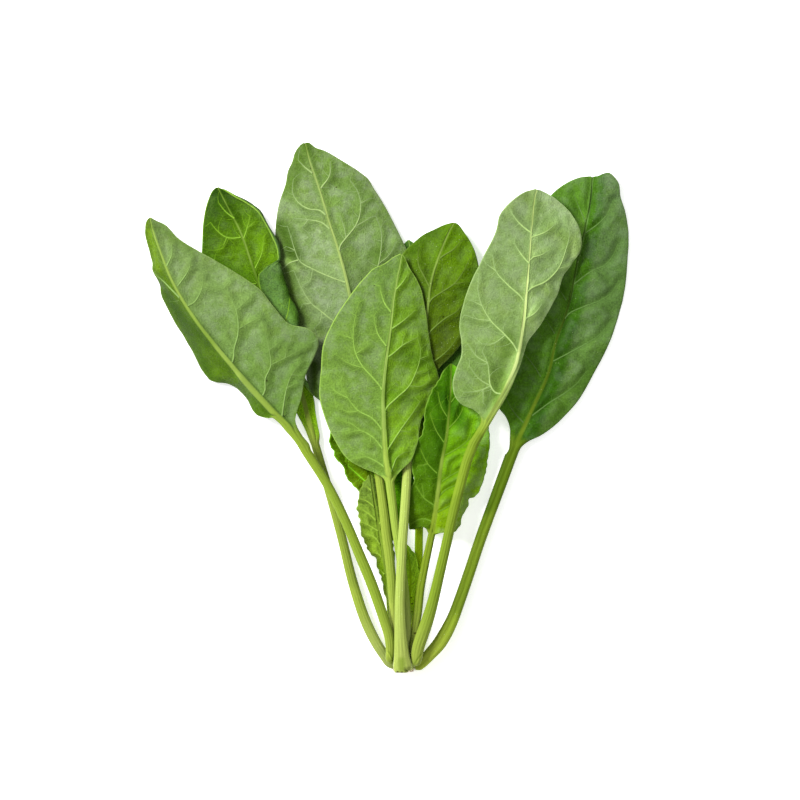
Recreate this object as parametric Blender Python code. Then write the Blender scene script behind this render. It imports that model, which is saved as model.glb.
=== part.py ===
# A spinach plant pulled whole and cut below its crown, lying on a flat surface.
# Twelve leaves spread like a fan from one crown; each leaf is one solid, stalk and blade together.
# Millimetres in the tables. +X is to the right and +Y towards the leaf tips, seen from above.
# The origin is the small flat spot on the crown's underside that touches the surface.

import math

import bpy
import numpy as np

MM = 0.001

# Driving dimensions shared by every leaf
BLADE_THICKNESS = 0.7
STALK_DEPTH_RATIO = 0.8
STALK_MOST_DEPTH = 4.0
RIB_TIP_HALF_WIDTH = 0.35
RIB_TIP_HEIGHT = 0.3
RIB_TAPER = 1.3
RIB_BASE_HEIGHT = 0.62
BLADE_CAMBER = 1.35
SPREAD_AT_BASE = 1.5
RISE_AT_BASE = 3.0
LAST_ROW = 0.992
EVEN_ROWS = 0.35
CURVE_SAMPLES = 401
LEAST_RADIUS = 1e-6
LEAF_ROUGHNESS = 0.45
CROWN_ROUGHNESS = 0.6
SIDE_COLUMNS = (0.0, 0.34, 0.68, 1.0)
FOLD_COLUMNS = (0.0, 0.2, 0.38, 0.52, 0.62, 0.72, 0.82, 1.0)

# The crown, a short barrel along Y
CROWN_CENTRE_X = 0.8
CROWN_CENTRE_Z = 4.9
CROWN_PROFILE = ((-6.2, 4.2), (-5.6, 4.8), (-4.0, 5.2), (-1.5, 5.3), (0.6, 5.1), (2.4, 4.3))
CROWN_SIDES = 20


def hermite(knots, values, at):
    """A smooth curve through the values at their knots, read at other places."""
    knots = np.asarray(knots, float)
    values = np.asarray(values, float)
    slopes = np.gradient(values, knots, axis=0)
    i = np.clip(np.searchsorted(knots, at, side="right") - 1, 0, len(knots) - 2)
    width = knots[i + 1] - knots[i]
    s = (at - knots[i]) / width
    if values.ndim > 1:
        s, width = s[:, None], width[:, None]
    return (
        (1 + 2 * s) * (1 - s) ** 2 * values[i]
        + s * (1 - s) ** 2 * width * slopes[i]
        + s**2 * (3 - 2 * s) * values[i + 1]
        + s**2 * (s - 1) * width * slopes[i + 1]
    )


def path(points, at):
    """Places on a smooth curve through the points, at fractions of its length seen from above."""
    points = np.asarray(points, float)
    steps = np.linalg.norm(np.diff(points[:, :2], axis=0), axis=1)
    knots = np.concatenate([[0], np.cumsum(steps)]) / steps.sum()
    return hermite(knots, points, at)


def even(values, at):
    """A smooth value between numbers given at even steps from 0 to 1."""
    return hermite(np.linspace(0, 1, len(values)), values, at)


def smoothstep(x):
    """An eased step from 0 to 1 as x goes from 0 to 1."""
    x = np.clip(x, 0, 1)
    return x * x * (3 - 2 * x)


def margin_rows(margin, midrib, at, fan):
    """Where each row of the blade meets its margin: partly the nearest row, partly spread by length."""
    dense = np.linspace(0, 1, CURVE_SAMPLES)
    edge = path(margin, dense)
    rib = path(midrib, dense)[:, :2]
    nearest = np.argmin(np.linalg.norm(edge[:, None] - rib[None], axis=2), axis=1) / (len(dense) - 1)
    nearest = np.maximum.accumulate(nearest)
    nearest = (nearest - nearest[0]) / (1 - nearest[0])
    row = (1 - fan) * nearest + fan * dense
    return np.column_stack([np.interp(at, row, edge[:, 0]), np.interp(at, row, edge[:, 1])])


def fold_over(distance, width, flap, fold_height):
    """Distance along the blade from its rib, as a sideways step and a rise where the margin folds over."""
    radius = fold_height / 2 * smoothstep(flap / (2 * fold_height))
    straight = width - radius
    turned = np.clip(distance - straight, 0, np.pi * radius)
    angle = turned / np.maximum(radius, LEAST_RADIUS)
    back = np.maximum(distance - straight - np.pi * radius, 0)
    sideways = np.minimum(distance, straight) + radius * np.sin(angle) - back
    return sideways, radius * (1 - np.cos(angle))


def leaf_grid(spec, stalk_rows, blade_rows):
    """The middle surface of a leaf as rows of points, with the thickness above and below it."""
    u = np.linspace(0, 1, blade_rows)
    at = LAST_ROW * (EVEN_ROWS * u + (1 - EVEN_ROWS) * (1 - np.cos(math.pi * u)) / 2)
    stalk_at = np.linspace(0, 1, stalk_rows, endpoint=False)
    stalk = path(spec["stalk"], stalk_at)
    midrib = [spec["stalk"][-1]] + spec["midrib"]
    blade = path(midrib, at)
    centre = np.concatenate([stalk, blade])
    ahead = np.gradient(centre[:, :2], axis=0)
    ahead /= np.linalg.norm(ahead, axis=1)[:, None]
    leftwards = np.column_stack([-ahead[:, 1], ahead[:, 0]])

    stalk_half = even(spec["stalk_widths"], stalk_at) / 2
    rib_base_half = spec["stalk_widths"][-1] / 2
    rib_half = RIB_TIP_HALF_WIDTH + (rib_base_half - RIB_TIP_HALF_WIDTH) * (1 - at) ** RIB_TAPER
    half = np.concatenate([stalk_half, rib_half])
    depth = np.minimum(half * 2 * STALK_DEPTH_RATIO, STALK_MOST_DEPTH)
    rib_height = np.maximum(depth * RIB_BASE_HEIGHT, RIB_TIP_HEIGHT)

    columns, above, below = [], [], []
    for side, name in ((1, "left"), (-1, "right")):
        start = blade[0, :2] + side * half[stalk_rows] * leftwards[stalk_rows]
        edge = margin_rows([tuple(start)] + spec[name] + [midrib[-1][:2]], midrib, at, spec["fan"][name])
        stalk_side = stalk[:, :2] + side * half[:stalk_rows, None] * leftwards[:stalk_rows]
        reach = np.concatenate([stalk_side, edge])
        width = np.linalg.norm(reach - centre[:, :2], axis=1)
        outwards = (reach - centre[:, :2]) / width[:, None]
        edge_z = np.concatenate([stalk[:, 2], even(spec[name + "_z"], at)])
        spread = smoothstep((width - half) / (SPREAD_AT_BASE * half))
        spread[:stalk_rows] = 0
        rise_at_base = smoothstep((width - half) / (RISE_AT_BASE * half))
        edge_z = centre[:, 2] + (edge_z - centre[:, 2]) * rise_at_base
        height, waves, phase = spec["waves"][name]
        middle_of_blade = np.sqrt(4 * at * (1 - at))
        ripple = np.zeros(len(centre))
        ripple[stalk_rows:] = height * middle_of_blade * np.sin(2 * math.pi * (waves * at + phase))
        flap = np.zeros(len(centre))
        if name in spec["flaps"]:
            flap[stalk_rows:] = even(spec["flaps"][name], at)
        steps = FOLD_COLUMNS if name in spec["flaps"] else SIDE_COLUMNS
        found = []
        for j in range(len(steps) + 1):
            round_angle = math.pi / 2 * j / len(steps)
            foot = np.minimum(half / width, 1)
            across_blade = 0 if j == 0 else foot + (1 - foot) * steps[j - 1]
            across = spread * across_blade + (1 - spread) * math.sin(round_angle)
            sideways, rise = fold_over(across * (width + flap), width, flap, spec["fold_height"])
            out = np.clip(sideways / width, 0, 1)
            z = centre[:, 2] + (edge_z - centre[:, 2]) * out**BLADE_CAMBER + ripple * out**2 + rise
            flat = centre[:, :2] + sideways[:, None] * outwards
            round_half = BLADE_THICKNESS / 2 + (depth - BLADE_THICKNESS) / 2 * math.cos(round_angle)
            blade_rib = BLADE_THICKNESS / 2 + (rib_height if j == 0 else 0)
            ribbed = spread * blade_rib + (1 - spread) * round_half
            plain = spread * BLADE_THICKNESS / 2 + (1 - spread) * round_half
            up, down = (ribbed, plain) if spec["underside_up"] else (plain, ribbed)
            found.append((np.column_stack([flat, z]), up, down))
        if side == 1:
            found = found[:0:-1]
        columns += [c[0] for c in found]
        above += [c[1] for c in found]
        below += [c[2] for c in found]
    return np.stack(columns, axis=1), np.stack(above, axis=1), np.stack(below, axis=1)


def skin(grid, above, below):
    """The closed skin round a grid: a top and a bottom split into the same triangles, and the rim between."""
    along = np.gradient(grid, axis=0)
    across = np.gradient(grid, axis=1)
    normal = np.cross(across, along)
    normal /= np.linalg.norm(normal, axis=2)[:, :, None]
    rows, cols = grid.shape[:2]
    top = (grid + normal * above[:, :, None]).reshape(-1, 3)
    bottom = (grid - normal * below[:, :, None]).reshape(-1, 3)
    offset = len(top)
    faces = []
    for k in range(rows - 1):
        for j in range(cols - 1):
            a = k * cols + j
            b, c, d = a + 1, a + cols + 1, a + cols
            faces += [(a, b, c), (a, c, d)]
            faces += [(a + offset, c + offset, b + offset), (a + offset, d + offset, c + offset)]
    rim = list(range(cols))
    rim += [k * cols + cols - 1 for k in range(1, rows)]
    rim += [(rows - 1) * cols + j for j in range(cols - 2, -1, -1)]
    rim += [k * cols for k in range(rows - 2, 0, -1)]
    for a, b in zip(rim, rim[1:] + rim[:1]):
        faces += [(a, a + offset, b + offset), (a, b + offset, b)]
    return np.concatenate([top, bottom]), faces


def finish(name, points, faces, colour, roughness):
    """The named object of a closed skin, in metres, with its own material."""
    mesh = bpy.data.meshes.new(name)
    mesh.from_pydata((points * MM).tolist(), [], faces)
    mesh.shade_smooth()
    material = bpy.data.materials.new(name)
    material.use_nodes = True
    shader = material.node_tree.nodes["Principled BSDF"]
    shader.inputs["Base Color"].default_value = (*colour, 1)
    shader.inputs["Roughness"].default_value = roughness
    mesh.materials.append(material)
    placed = bpy.data.objects.new(name, mesh)
    bpy.context.scene.collection.objects.link(placed)
    return placed


def leaf(name, colour, stalk_rows=11, blade_rows=23, **spec):
    """One leaf from its tables: the lines of stalk, rib and margins, heights, widths, waves and folds."""
    usual = {
        "fan": {"left": 0.5, "right": 0.5},
        "flaps": {},
        "fold_height": 3.0,
        "underside_up": True,
        "waves": {"left": (0, 1, 0), "right": (0, 1, 0)},
    }
    grid, above, below = leaf_grid(usual | spec, stalk_rows, blade_rows)
    points, faces = skin(grid, above, below)
    return finish(name, points, faces, colour, LEAF_ROUGHNESS)


def crown():
    """The root crown: a barrel turned along Y, with a flat spot where it touches the surface."""
    rings = []
    for y, radius in CROWN_PROFILE:
        turn = np.linspace(0, 2 * math.pi, CROWN_SIDES, endpoint=False) + math.pi / CROWN_SIDES
        x = CROWN_CENTRE_X + radius * np.sin(turn)
        z = np.maximum(CROWN_CENTRE_Z - radius * np.cos(turn), 0)
        rings.append(np.column_stack([x, np.full(CROWN_SIDES, y), z]))
    points = np.concatenate(rings)
    faces = [tuple(range(CROWN_SIDES))]
    for k in range(len(rings) - 1):
        for j in range(CROWN_SIDES):
            a = k * CROWN_SIDES + j
            b = k * CROWN_SIDES + (j + 1) % CROWN_SIDES
            faces.append((a, a + CROWN_SIDES, b + CROWN_SIDES, b))
    last = (len(rings) - 1) * CROWN_SIDES
    faces.append(tuple(last + j for j in reversed(range(CROWN_SIDES))))
    return finish("root_crown", points, faces, (0.62, 0.66, 0.30), CROWN_ROUGHNESS)


for old in list(bpy.data.objects):
    bpy.data.objects.remove(old)

crown()

# Front left leaf, underside up, its left half bent down
leaf(
    "leaf_front_left",
    (0.22, 0.36, 0.09),
    stalk=[
        (-6.2, 0.6, 11.4), (-5.9, 6, 12.5), (-6.6, 12, 13), (-8.9, 20, 13.2), (-12.2, 30, 13.3),
        (-16.3, 41, 13), (-20.5, 51, 12.7), (-28.5, 70, 12.3), (-37.5, 88, 12.5), (-47.6, 104, 13),
    ],
    midrib=[
        (-56, 115.6, 13.5), (-65, 125, 14), (-75, 136, 14.5), (-85, 147.5, 15), (-95, 159.6, 15),
        (-105, 173, 14), (-115, 190, 12), (-121.7, 206.7, 9.5), (-125, 216, 8), (-126.3, 221.8, 7.5),
    ],
    left=[
        (-53.5, 109), (-58, 114.5), (-62, 119.2), (-65.5, 121.4), (-69, 121), (-72.5, 121.8),
        (-75.4, 124.6), (-77.5, 128.8), (-80, 132.5), (-84, 135.8), (-88.3, 137.8), (-93, 138.2),
        (-96.7, 139.3), (-99, 141.7), (-105, 153), (-110, 161), (-115, 169), (-119, 176.7),
        (-121.3, 182.5), (-122.5, 190), (-125, 196), (-127, 203), (-129, 215), (-128.3, 219),
    ],
    right=[
        (-46.2, 107.5), (-49.6, 112), (-52.3, 116.6), (-53.2, 119.5), (-52.5, 124), (-50.6, 130),
        (-47.5, 144), (-44, 151), (-41.6, 159), (-43.4, 163), (-46.7, 165.6), (-50.8, 166.8),
        (-55, 167.7), (-64, 176.7), (-70.4, 184.8), (-76.7, 189.6), (-85, 195), (-95, 200.8),
        (-102.5, 205), (-112.5, 211.5), (-118.3, 217.7), (-124, 220.4),
    ],
    left_z=(13.2, 10, 4.4, 1.9, 1.4, 3.2, 7.5),
    right_z=(13.2, 13.3, 12.8, 12.2, 11.6, 10.4, 7.5),
    stalk_widths=(4.2, 5.2, 5.3, 4.9, 4.7, 4.9),
    waves={"left": (0.9, 3.3, 0.87), "right": (0.6, 4.4, 0.56)},
)

# Back left leaf, underside up, its right margin folded over
leaf(
    "leaf_back_left",
    (0.12, 0.25, 0.03),
    stalk=[
        (-7, -0.8, 5.2), (-9.4, 2.9, 5.7), (-11.8, 6.6, 6), (-14.4, 11.2, 6), (-18.5, 20, 5.6),
        (-22, 30, 5.2), (-25, 40, 4.8), (-29.9, 60, 4.2), (-35.3, 80, 3.8), (-41.2, 100, 3.6),
        (-43.5, 108, 3.6),
    ],
    midrib=[
        (-46.8, 120, 3.6), (-49, 129, 3.6), (-52.5, 140, 3.6), (-60.5, 160, 3.8), (-70.7, 185, 4.2),
        (-76, 200.5, 4.6), (-81.2, 215, 4.6), (-87, 226, 4), (-92.6, 237, 3),
    ],
    left=[
        (-49, 116), (-53, 123.5), (-58, 133), (-66, 142), (-78, 154), (-88, 168), (-96, 182),
        (-100, 194), (-100.3, 210), (-99.7, 220), (-98.6, 225.6), (-97, 231), (-95, 235),
    ],
    right=[
        (-41.2, 112), (-42.1, 117), (-43.3, 124), (-44.2, 131), (-47.2, 137), (-50, 143), (-51.5, 150),
        (-52, 158), (-52.2, 166), (-54, 177), (-58.4, 188), (-61, 196), (-61.2, 202), (-62, 207),
        (-64, 211.5), (-68, 219), (-71.3, 224.3), (-77.6, 229), (-83, 231.6), (-89.6, 235.5),
    ],
    left_z=(3.6, 3.5, 2.5, 1.4, 1.1, 1.8, 3),
    right_z=(3.6, 3.6, 4.7, 5.1, 5.2, 4.9, 3),
    stalk_widths=(5.0, 5.4, 5.2, 4.9, 4.7, 4.6, 4.4, 4.2),
    waves={"left": (0.5, 3, 0.4), "right": (0, 1, 0)},
    flaps={"right": (0, 0, 3, 8, 13, 13, 3.5, 1.1, 0)},
)

# Tall leaf at the back, underside up
leaf(
    "leaf_back_tall",
    (0.21, 0.35, 0.10),
    stalk=[
        (-2.8, 3, 9.2), (-3.9, 12, 9.6), (-4.4, 25, 9.6), (-5.2, 40, 9.6), (-6.4, 52, 9.6),
        (-8, 64, 9.6), (-9.6, 78, 9.2), (-11.2, 90, 8.2), (-13, 102, 7.2), (-16, 119, 6.9),
    ],
    midrib=[
        (-19.5, 140, 7), (-23, 160, 7.4), (-26.3, 182.8, 8.2), (-31.5, 203.8, 8.6), (-36.4, 218.7, 8.2),
        (-40.5, 233, 7.2), (-46, 249, 5.6), (-48.7, 259.2, 4.6),
    ],
    left=[
        (-24, 124.5), (-33, 126), (-40, 129), (-45, 133), (-47.5, 139), (-48.5, 147), (-50.5, 156),
        (-54.5, 168), (-59, 181), (-62.8, 194), (-64.8, 205), (-63.9, 211.6), (-63.3, 220),
        (-61.4, 230), (-58.4, 238.8), (-57.3, 244.8), (-55, 250), (-54, 253.8), (-51.3, 257.5),
    ],
    right=[
        (-9, 124), (-1, 134), (5, 150), (8, 168), (8, 184), (6, 197), (2, 206.4), (-2.8, 216.4),
        (-10.3, 230.3), (-14, 236), (-17, 241), (-20.7, 244), (-30, 250), (-39.4, 255.3), (-43, 256.4),
        (-46.8, 259),
    ],
    left_z=(6.9, 5.9, 3.3, 1.7, 1.4, 1.9, 3.2, 4.6),
    right_z=(6.9, 6.2, 5.6, 5.2, 5, 4.8, 4.6, 4.6),
    stalk_widths=(2.8, 4.4, 4.8, 4.4, 4.2),
    waves={"left": (0.5, 5, 0), "right": (0.5, 4, 0.25)},
)

# Front middle leaf, underside up
leaf(
    "leaf_front_middle",
    (0.17, 0.31, 0.04),
    fan={"left": 0.65, "right": 0.65},
    stalk=[
        (0.6, 3, 9.6), (2.4, 12, 10.0), (2.3, 22, 9.8), (1.6, 32, 9.6), (0.2, 44, 9.4), (-1.6, 56, 9.2),
        (-3.4, 67, 9.4), (-4.9, 79.5, 10.8), (-6.1, 89, 12.6),
    ],
    midrib=[
        (-7.6, 97.5, 14), (-9, 115.5, 15.8), (-9.4, 133.5, 17), (-8, 149.7, 17.5), (-5.8, 165, 17.4),
        (-4, 181, 16.2), (-1.3, 195.6, 14.2), (0, 203.2, 13),
    ],
    left=[
        (-9, 90.3), (-12.6, 93), (-19.8, 96), (-27, 100.2), (-34.2, 110.5), (-38.7, 121),
        (-41.4, 131.7), (-40.7, 145), (-39.6, 157), (-35, 168.6), (-27, 181), (-18, 192.4),
        (-14.8, 195.6), (-9, 198.3), (-3.6, 202),
    ],
    right=[
        (-2.7, 92), (1, 96), (4.5, 99.3), (6.8, 104.7), (8.6, 111), (9, 115.5), (10.4, 121),
        (14.5, 126), (18, 133), (19, 139), (18, 144), (16.2, 149), (13.5, 164), (11.3, 178.5),
        (9.9, 185), (7.7, 190), (4.5, 195), (1.8, 200.6),
    ],
    left_z=(12.6, 11.6, 11.5, 12, 12.4, 12.6, 13),
    right_z=(12.6, 12.6, 10, 9.6, 11.6, 13.2, 13),
    stalk_widths=(2.8, 4.2, 4.2, 4.4),
    waves={"left": (0.7, 4, 0), "right": (0.2, 3, 0)},
)

# Lower right leaf, upper side up, its right half glossy
leaf(
    "leaf_low_right",
    (0.10, 0.24, 0.02),
    fan={"left": 0.65, "right": 0.65},
    underside_up=False,
    stalk=[
        (4.7, 3, 8), (6.3, 14, 8), (7.7, 22, 7.9), (9.3, 36, 7.9), (11.3, 46.3, 7.8),
        (13.5, 56.5, 7.8), (14.9, 63, 8),
    ],
    midrib=[
        (17.5, 79.5, 8.8), (20, 100, 10), (22, 110, 10.8), (23.4, 122, 11.8), (24.3, 136, 12.2),
        (24.5, 148.4, 12.2),
    ],
    left=[
        (11.4, 66), (7.8, 66.5), (3.8, 65.4), (3, 69), (3.4, 75), (3.6, 82), (4.4, 86), (5.7, 89),
        (5.6, 92), (4.9, 95), (4.9, 98.5), (4.8, 103), (6.4, 109), (10, 113.5), (10.5, 117), (10.9, 122.3), (12.2, 129),
        (15, 135.3), (18, 140.3), (21.6, 146),
    ],
    right=[
        (20.5, 63.5), (26, 63.7), (29, 67), (30, 71), (33, 77), (34.5, 81.3), (35.9, 81.3), (39.8, 87),
        (42.5, 97), (43.5, 104), (44, 110), (43.5, 115), (41, 123), (38, 131), (34, 139), (29.5, 145),
    ],
    left_z=(8, 8, 8.6, 9.8, 12.2, 13.6, 12.2),
    right_z=(8, 7, 6.4, 6.4, 7.4, 9.8, 12.2),
    stalk_widths=(2.8, 4.2, 4.0, 3.6),
    waves={"left": (0, 1, 0), "right": (0.8, 4.5, 0)},
)

# Front right leaf, underside up, without a blade on the right of its lower rib
leaf(
    "leaf_front_right",
    (0.28, 0.43, 0.14),
    fan={"left": 0.55, "right": 0.25},
    stalk=[
        (6.9, -0.4, 11), (8.3, 7, 12), (10.3, 13, 12.5), (12.7, 20, 12.9), (15.6, 30, 13.1),
        (18, 40, 13.2), (20.3, 50, 13.4), (22.6, 60, 13.6), (24.8, 70, 13.8), (27.2, 80, 14),
        (29.8, 90, 14.4), (32.6, 100, 14.8), (36, 108.5, 15.2),
    ],
    midrib=[
        (42, 119, 15.8), (50.4, 133.5, 16.8), (56.4, 147, 17.6), (60.5, 169.5, 18.4), (63, 195.5, 18),
        (65, 219, 15.6), (66.5, 231.8, 13), (67.5, 235.5, 12),
    ],
    left=[
        (37, 114.5), (39.3, 119), (39, 122.2), (35.5, 125.2), (30.4, 127.3), (26.8, 131), (25.2, 137),
        (27.3, 146.5), (29.4, 152), (29.5, 159.5), (28.5, 166), (30.8, 179), (33.5, 187), (40.5, 201.5),
        (47.3, 216.5), (48.5, 222), (52.5, 227.5), (57.5, 231.8), (62.3, 234.5),
    ],
    right=[
        (44, 118), (52.6, 132.6), (58.9, 147), (63.5, 159), (68.5, 166), (73.5, 174.3),
        (77.8, 182.5), (81.3, 192.5), (84.8, 198), (89, 203.7), (90, 209.5), (89, 215.5), (85.5, 222),
        (81.3, 227), (76.5, 231), (71.5, 234),
    ],
    left_z=(15.2, 15.6, 14, 14, 14.4, 14, 12),
    right_z=(15.2, 16, 17, 14, 11.5, 11, 12),
    stalk_widths=(6.0, 6.3, 5.5, 5.1, 5.0, 5.0, 5.0, 5.0),
    waves={"left": (0.6, 3.5, 0.1), "right": (0.5, 3, 0.5)},
)

# Middle leaf behind, underside up, its stalk the foremost at the crown
leaf(
    "leaf_back_middle",
    (0.12, 0.24, 0.02),
    stalk=[
        (0.4, -4.7, 12.8), (-0.4, 6, 13.7), (-0.9, 18, 14.1), (-1, 30, 14.2), (-0.7, 40, 14.2),
        (0.3, 60, 14), (1, 70, 13.2), (1.7, 80, 11.6), (2.4, 92, 8.8), (2.8, 101, 6.9), (3.6, 110, 6.2),
        (5, 120, 6),
    ],
    midrib=[
        (7.4, 135, 6.8), (10, 152, 8.2), (12.3, 171.3, 9.6), (14.5, 188.5, 10), (19.5, 204.5, 9),
        (24.5, 216, 7.6), (26.3, 219, 7.2),
    ],
    left=[
        (0, 124), (-6, 134), (-11, 148), (-12, 164), (-9, 182), (-4.5, 196), (0, 203), (6, 209),
        (10.5, 212.7), (15.8, 215.3), (21.5, 218),
    ],
    right=[
        (11, 132), (17.5, 144.5), (24.5, 151.5), (29, 157), (34.5, 168), (37.5, 180), (39, 190),
        (38.3, 198), (35, 208), (31.5, 213.5), (27.8, 218.2),
    ],
    left_z=(6, 8.5, 9.5, 9.6, 9.2, 8.4, 7.2),
    right_z=(6, 6.4, 7, 8, 8.4, 8, 7.2),
    stalk_widths=(7.8, 5.2, 4.8, 4.6, 4.2),
    waves={"left": (0.4, 3, 0), "right": (0.5, 3, 0.3)},
)

# Right leaf, upper side up, the lowest of all
leaf(
    "leaf_back_right",
    (0.06, 0.15, 0.01),
    underside_up=False,
    stalk=[
        (8.8, -3, 5.2), (11.6, 0.1, 5.7), (14.6, 3.4, 5.8), (18, 7.2, 5.7), (21.3, 12.3, 5.5),
        (25.2, 20, 5.2), (29, 30, 4.8), (32.5, 40, 4.4), (39.2, 60, 4), (46.5, 80, 3.8), (50.2, 90, 3.8),
        (54.4, 101.5, 3.9),
    ],
    midrib=[
        (60, 114, 4), (65, 125, 4.2), (73.7, 144.5, 4.4), (77, 159, 4.4), (82, 173, 4.4),
        (88.3, 201, 4.4), (93.5, 225.5, 4), (95.5, 242.3, 3.2),
    ],
    left=[
        (52.8, 104), (54, 111.5), (53.8, 116.5), (51.8, 121.5), (49, 125), (45, 131), (43, 142),
        (44, 158), (48, 176), (54, 193), (61, 208), (69, 223), (75, 233), (82, 238.5), (89, 241.5),
    ],
    right=[
        (60, 106.5), (63, 109), (69, 112), (75, 116), (82, 122.5), (88, 129.5), (95.3, 142),
        (103, 156.7), (107, 167.2), (112, 188.3), (113, 201), (113.5, 213.5), (112, 223.5),
        (109.5, 231.8), (108.3, 239), (103.4, 244), (98, 242.2),
    ],
    left_z=(3.9, 5, 6.4, 7, 6.4, 5, 3.2),
    right_z=(3.9, 2.6, 1.4, 0.9, 0.9, 1.6, 3.2),
    stalk_widths=(5.4, 6.9, 6.0, 5.7, 5.6, 5.7, 5.9, 6.0),
    waves={"left": (0.4, 3, 0), "right": (0.4, 4, 0.5)},
)

# Small crinkled leaf low on the left, underside up
leaf(
    "leaf_small_crinkled",
    (0.19, 0.35, 0.05),
    stalk_rows=8,
    blade_rows=18,
    stalk=[(-2.9, 3, 4.6), (-4.6, 12, 4.8), (-5.8, 20, 5), (-6.4, 27, 5.2)],
    midrib=[(-7.2, 38, 5.4), (-9.4, 52, 5.6), (-11.6, 65, 5.8), (-13.6, 78, 6), (-16, 93, 6)],
    left=[
        (-8, 31), (-9.7, 34), (-10, 38.5), (-11.6, 43), (-13.2, 47.3), (-13.9, 50.5), (-16.2, 53),
        (-18.3, 57.5), (-20.3, 61.5), (-21, 66.5), (-22.4, 73.3), (-22.6, 79.5), (-21.3, 84.5),
        (-19.5, 89.5),
    ],
    right=[(-4.4, 36), (-3.4, 48), (-4, 60), (-5.6, 72), (-8.4, 82), (-12, 90)],
    left_z=(5.2, 5, 4.6, 4.8, 5.4, 5.8, 6),
    right_z=(5.2, 5.6, 5.6, 5.8, 6, 6, 6),
    stalk_widths=(2.6, 3.0, 2.8),
    waves={"left": (0.6, 5, 0), "right": (0.3, 4, 0)},
)

# Lower left leaf behind the front one, upper side up
leaf(
    "leaf_low_left",
    (0.07, 0.17, 0.01),
    underside_up=False,
    blade_rows=18,
    stalk=[(1, 3, 3.6), (-1.5, 15, 3.2), (-4.6, 34, 2.8), (-7.8, 54, 2.6), (-9.5, 64, 2.6)],
    midrib=[(-11, 73, 2.6), (-14, 88, 2.8), (-17, 105, 3.2), (-20, 125, 3.6), (-24, 148, 3.6)],
    left=[
        (-12.4, 71), (-15, 77.5), (-21.6, 83.8), (-25.3, 87.6), (-28.6, 92.6), (-29.5, 95.8),
        (-33.8, 101), (-34.5, 104), (-36.4, 107.4), (-36.3, 115.5), (-37, 124), (-35, 134), (-30.5, 143),
    ],
    right=[
        (-6, 66.5), (-2, 65.5), (1.5, 68), (4, 74), (5.7, 82), (6.1, 90), (5.6, 98), (4, 107),
        (-0.5, 120), (-8, 134), (-16, 144),
    ],
    left_z=(2.6, 3.2, 4, 4.4, 4.2, 3.8, 3.6),
    right_z=(2.6, 2.4, 2.4, 2.6, 3, 3.4, 3.6),
    stalk_widths=(2.8, 3.4, 3.2),
    waves={"left": (0.8, 5, 0.2), "right": (0.3, 3, 0)},
)

# Middle leaf at the very back, upper side up, only its tip showing
leaf(
    "leaf_under_middle",
    (0.05, 0.13, 0.01),
    underside_up=False,
    stalk=[
        (4.6, 3, 5), (5.8, 14, 3.8), (7.2, 28, 3), (8.2, 45, 2.8), (8.5, 62, 2.8), (8.8, 80, 2.6),
        (9, 100, 2.4), (9, 112, 2.4),
    ],
    midrib=[(8.8, 126, 2.4), (8.2, 145, 2.6), (7.2, 168, 3), (5.8, 190, 3.2), (3.2, 210.6, 3.2)],
    left=[(0, 122), (-8, 133), (-14, 148), (-15, 165), (-12, 182), (-6, 197), (-1.5, 205.5)],
    right=[(16, 121), (25, 132), (30, 146), (31, 162), (28, 178), (22, 192), (13, 203), (7, 208)],
    left_z=(2.4, 1.6, 1.2, 1.4, 2, 2.8, 3.2),
    right_z=(2.4, 2.8, 3.6, 4.2, 4.4, 4, 3.2),
    stalk_widths=(2.8, 4.0, 4.0, 3.6),
)

# Smallest leaf, curled against the inner stalks
leaf(
    "leaf_inner_curled",
    (0.14, 0.26, 0.03),
    underside_up=False,
    stalk_rows=6,
    blade_rows=14,
    stalk=[(1, 3, 6.5), (1.9, 10, 6.2), (2.6, 17, 6.1)],
    midrib=[(3.4, 28, 6.1), (4.2, 40, 6.5), (3.6, 50, 6.8), (2.4, 58, 6.8)],
    left=[(0.6, 26), (-0.4, 36), (-0.2, 47), (0.8, 54)],
    right=[(4.3, 20), (5.2, 27), (6.4, 33), (8, 38), (8.8, 42.5), (8.3, 47), (7, 52), (4.7, 55.6)],
    left_z=(6.3, 6.5, 6.6, 6.6, 6.6),
    right_z=(6.1, 5.9, 5.8, 6.2, 6.8),
    stalk_widths=(2.2, 2.2),
)
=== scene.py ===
import math

import bpy
import numpy as np
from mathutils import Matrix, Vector


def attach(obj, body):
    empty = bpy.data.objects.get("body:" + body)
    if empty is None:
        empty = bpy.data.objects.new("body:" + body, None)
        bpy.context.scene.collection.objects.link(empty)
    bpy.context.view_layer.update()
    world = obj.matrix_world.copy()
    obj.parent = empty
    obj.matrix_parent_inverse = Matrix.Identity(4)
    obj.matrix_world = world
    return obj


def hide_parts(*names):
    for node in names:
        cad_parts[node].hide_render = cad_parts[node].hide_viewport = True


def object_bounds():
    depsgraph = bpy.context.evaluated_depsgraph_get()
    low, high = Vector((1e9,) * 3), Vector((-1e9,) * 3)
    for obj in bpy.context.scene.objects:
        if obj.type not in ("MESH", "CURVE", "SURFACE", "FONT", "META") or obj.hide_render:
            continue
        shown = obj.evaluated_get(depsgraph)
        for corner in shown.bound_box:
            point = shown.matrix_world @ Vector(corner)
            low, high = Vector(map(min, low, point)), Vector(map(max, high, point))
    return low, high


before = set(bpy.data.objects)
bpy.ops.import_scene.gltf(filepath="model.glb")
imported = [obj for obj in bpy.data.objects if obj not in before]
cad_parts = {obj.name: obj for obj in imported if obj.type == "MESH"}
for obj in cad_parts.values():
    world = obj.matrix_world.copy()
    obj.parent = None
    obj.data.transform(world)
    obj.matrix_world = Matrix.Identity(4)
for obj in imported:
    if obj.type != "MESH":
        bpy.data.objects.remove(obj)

cad_low, cad_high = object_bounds()


# The surface, the light and the camera
# The plant lies on a table top painted a matt white, in a white room with one large soft light
# behind it at the left, seen from straight above.


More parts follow.
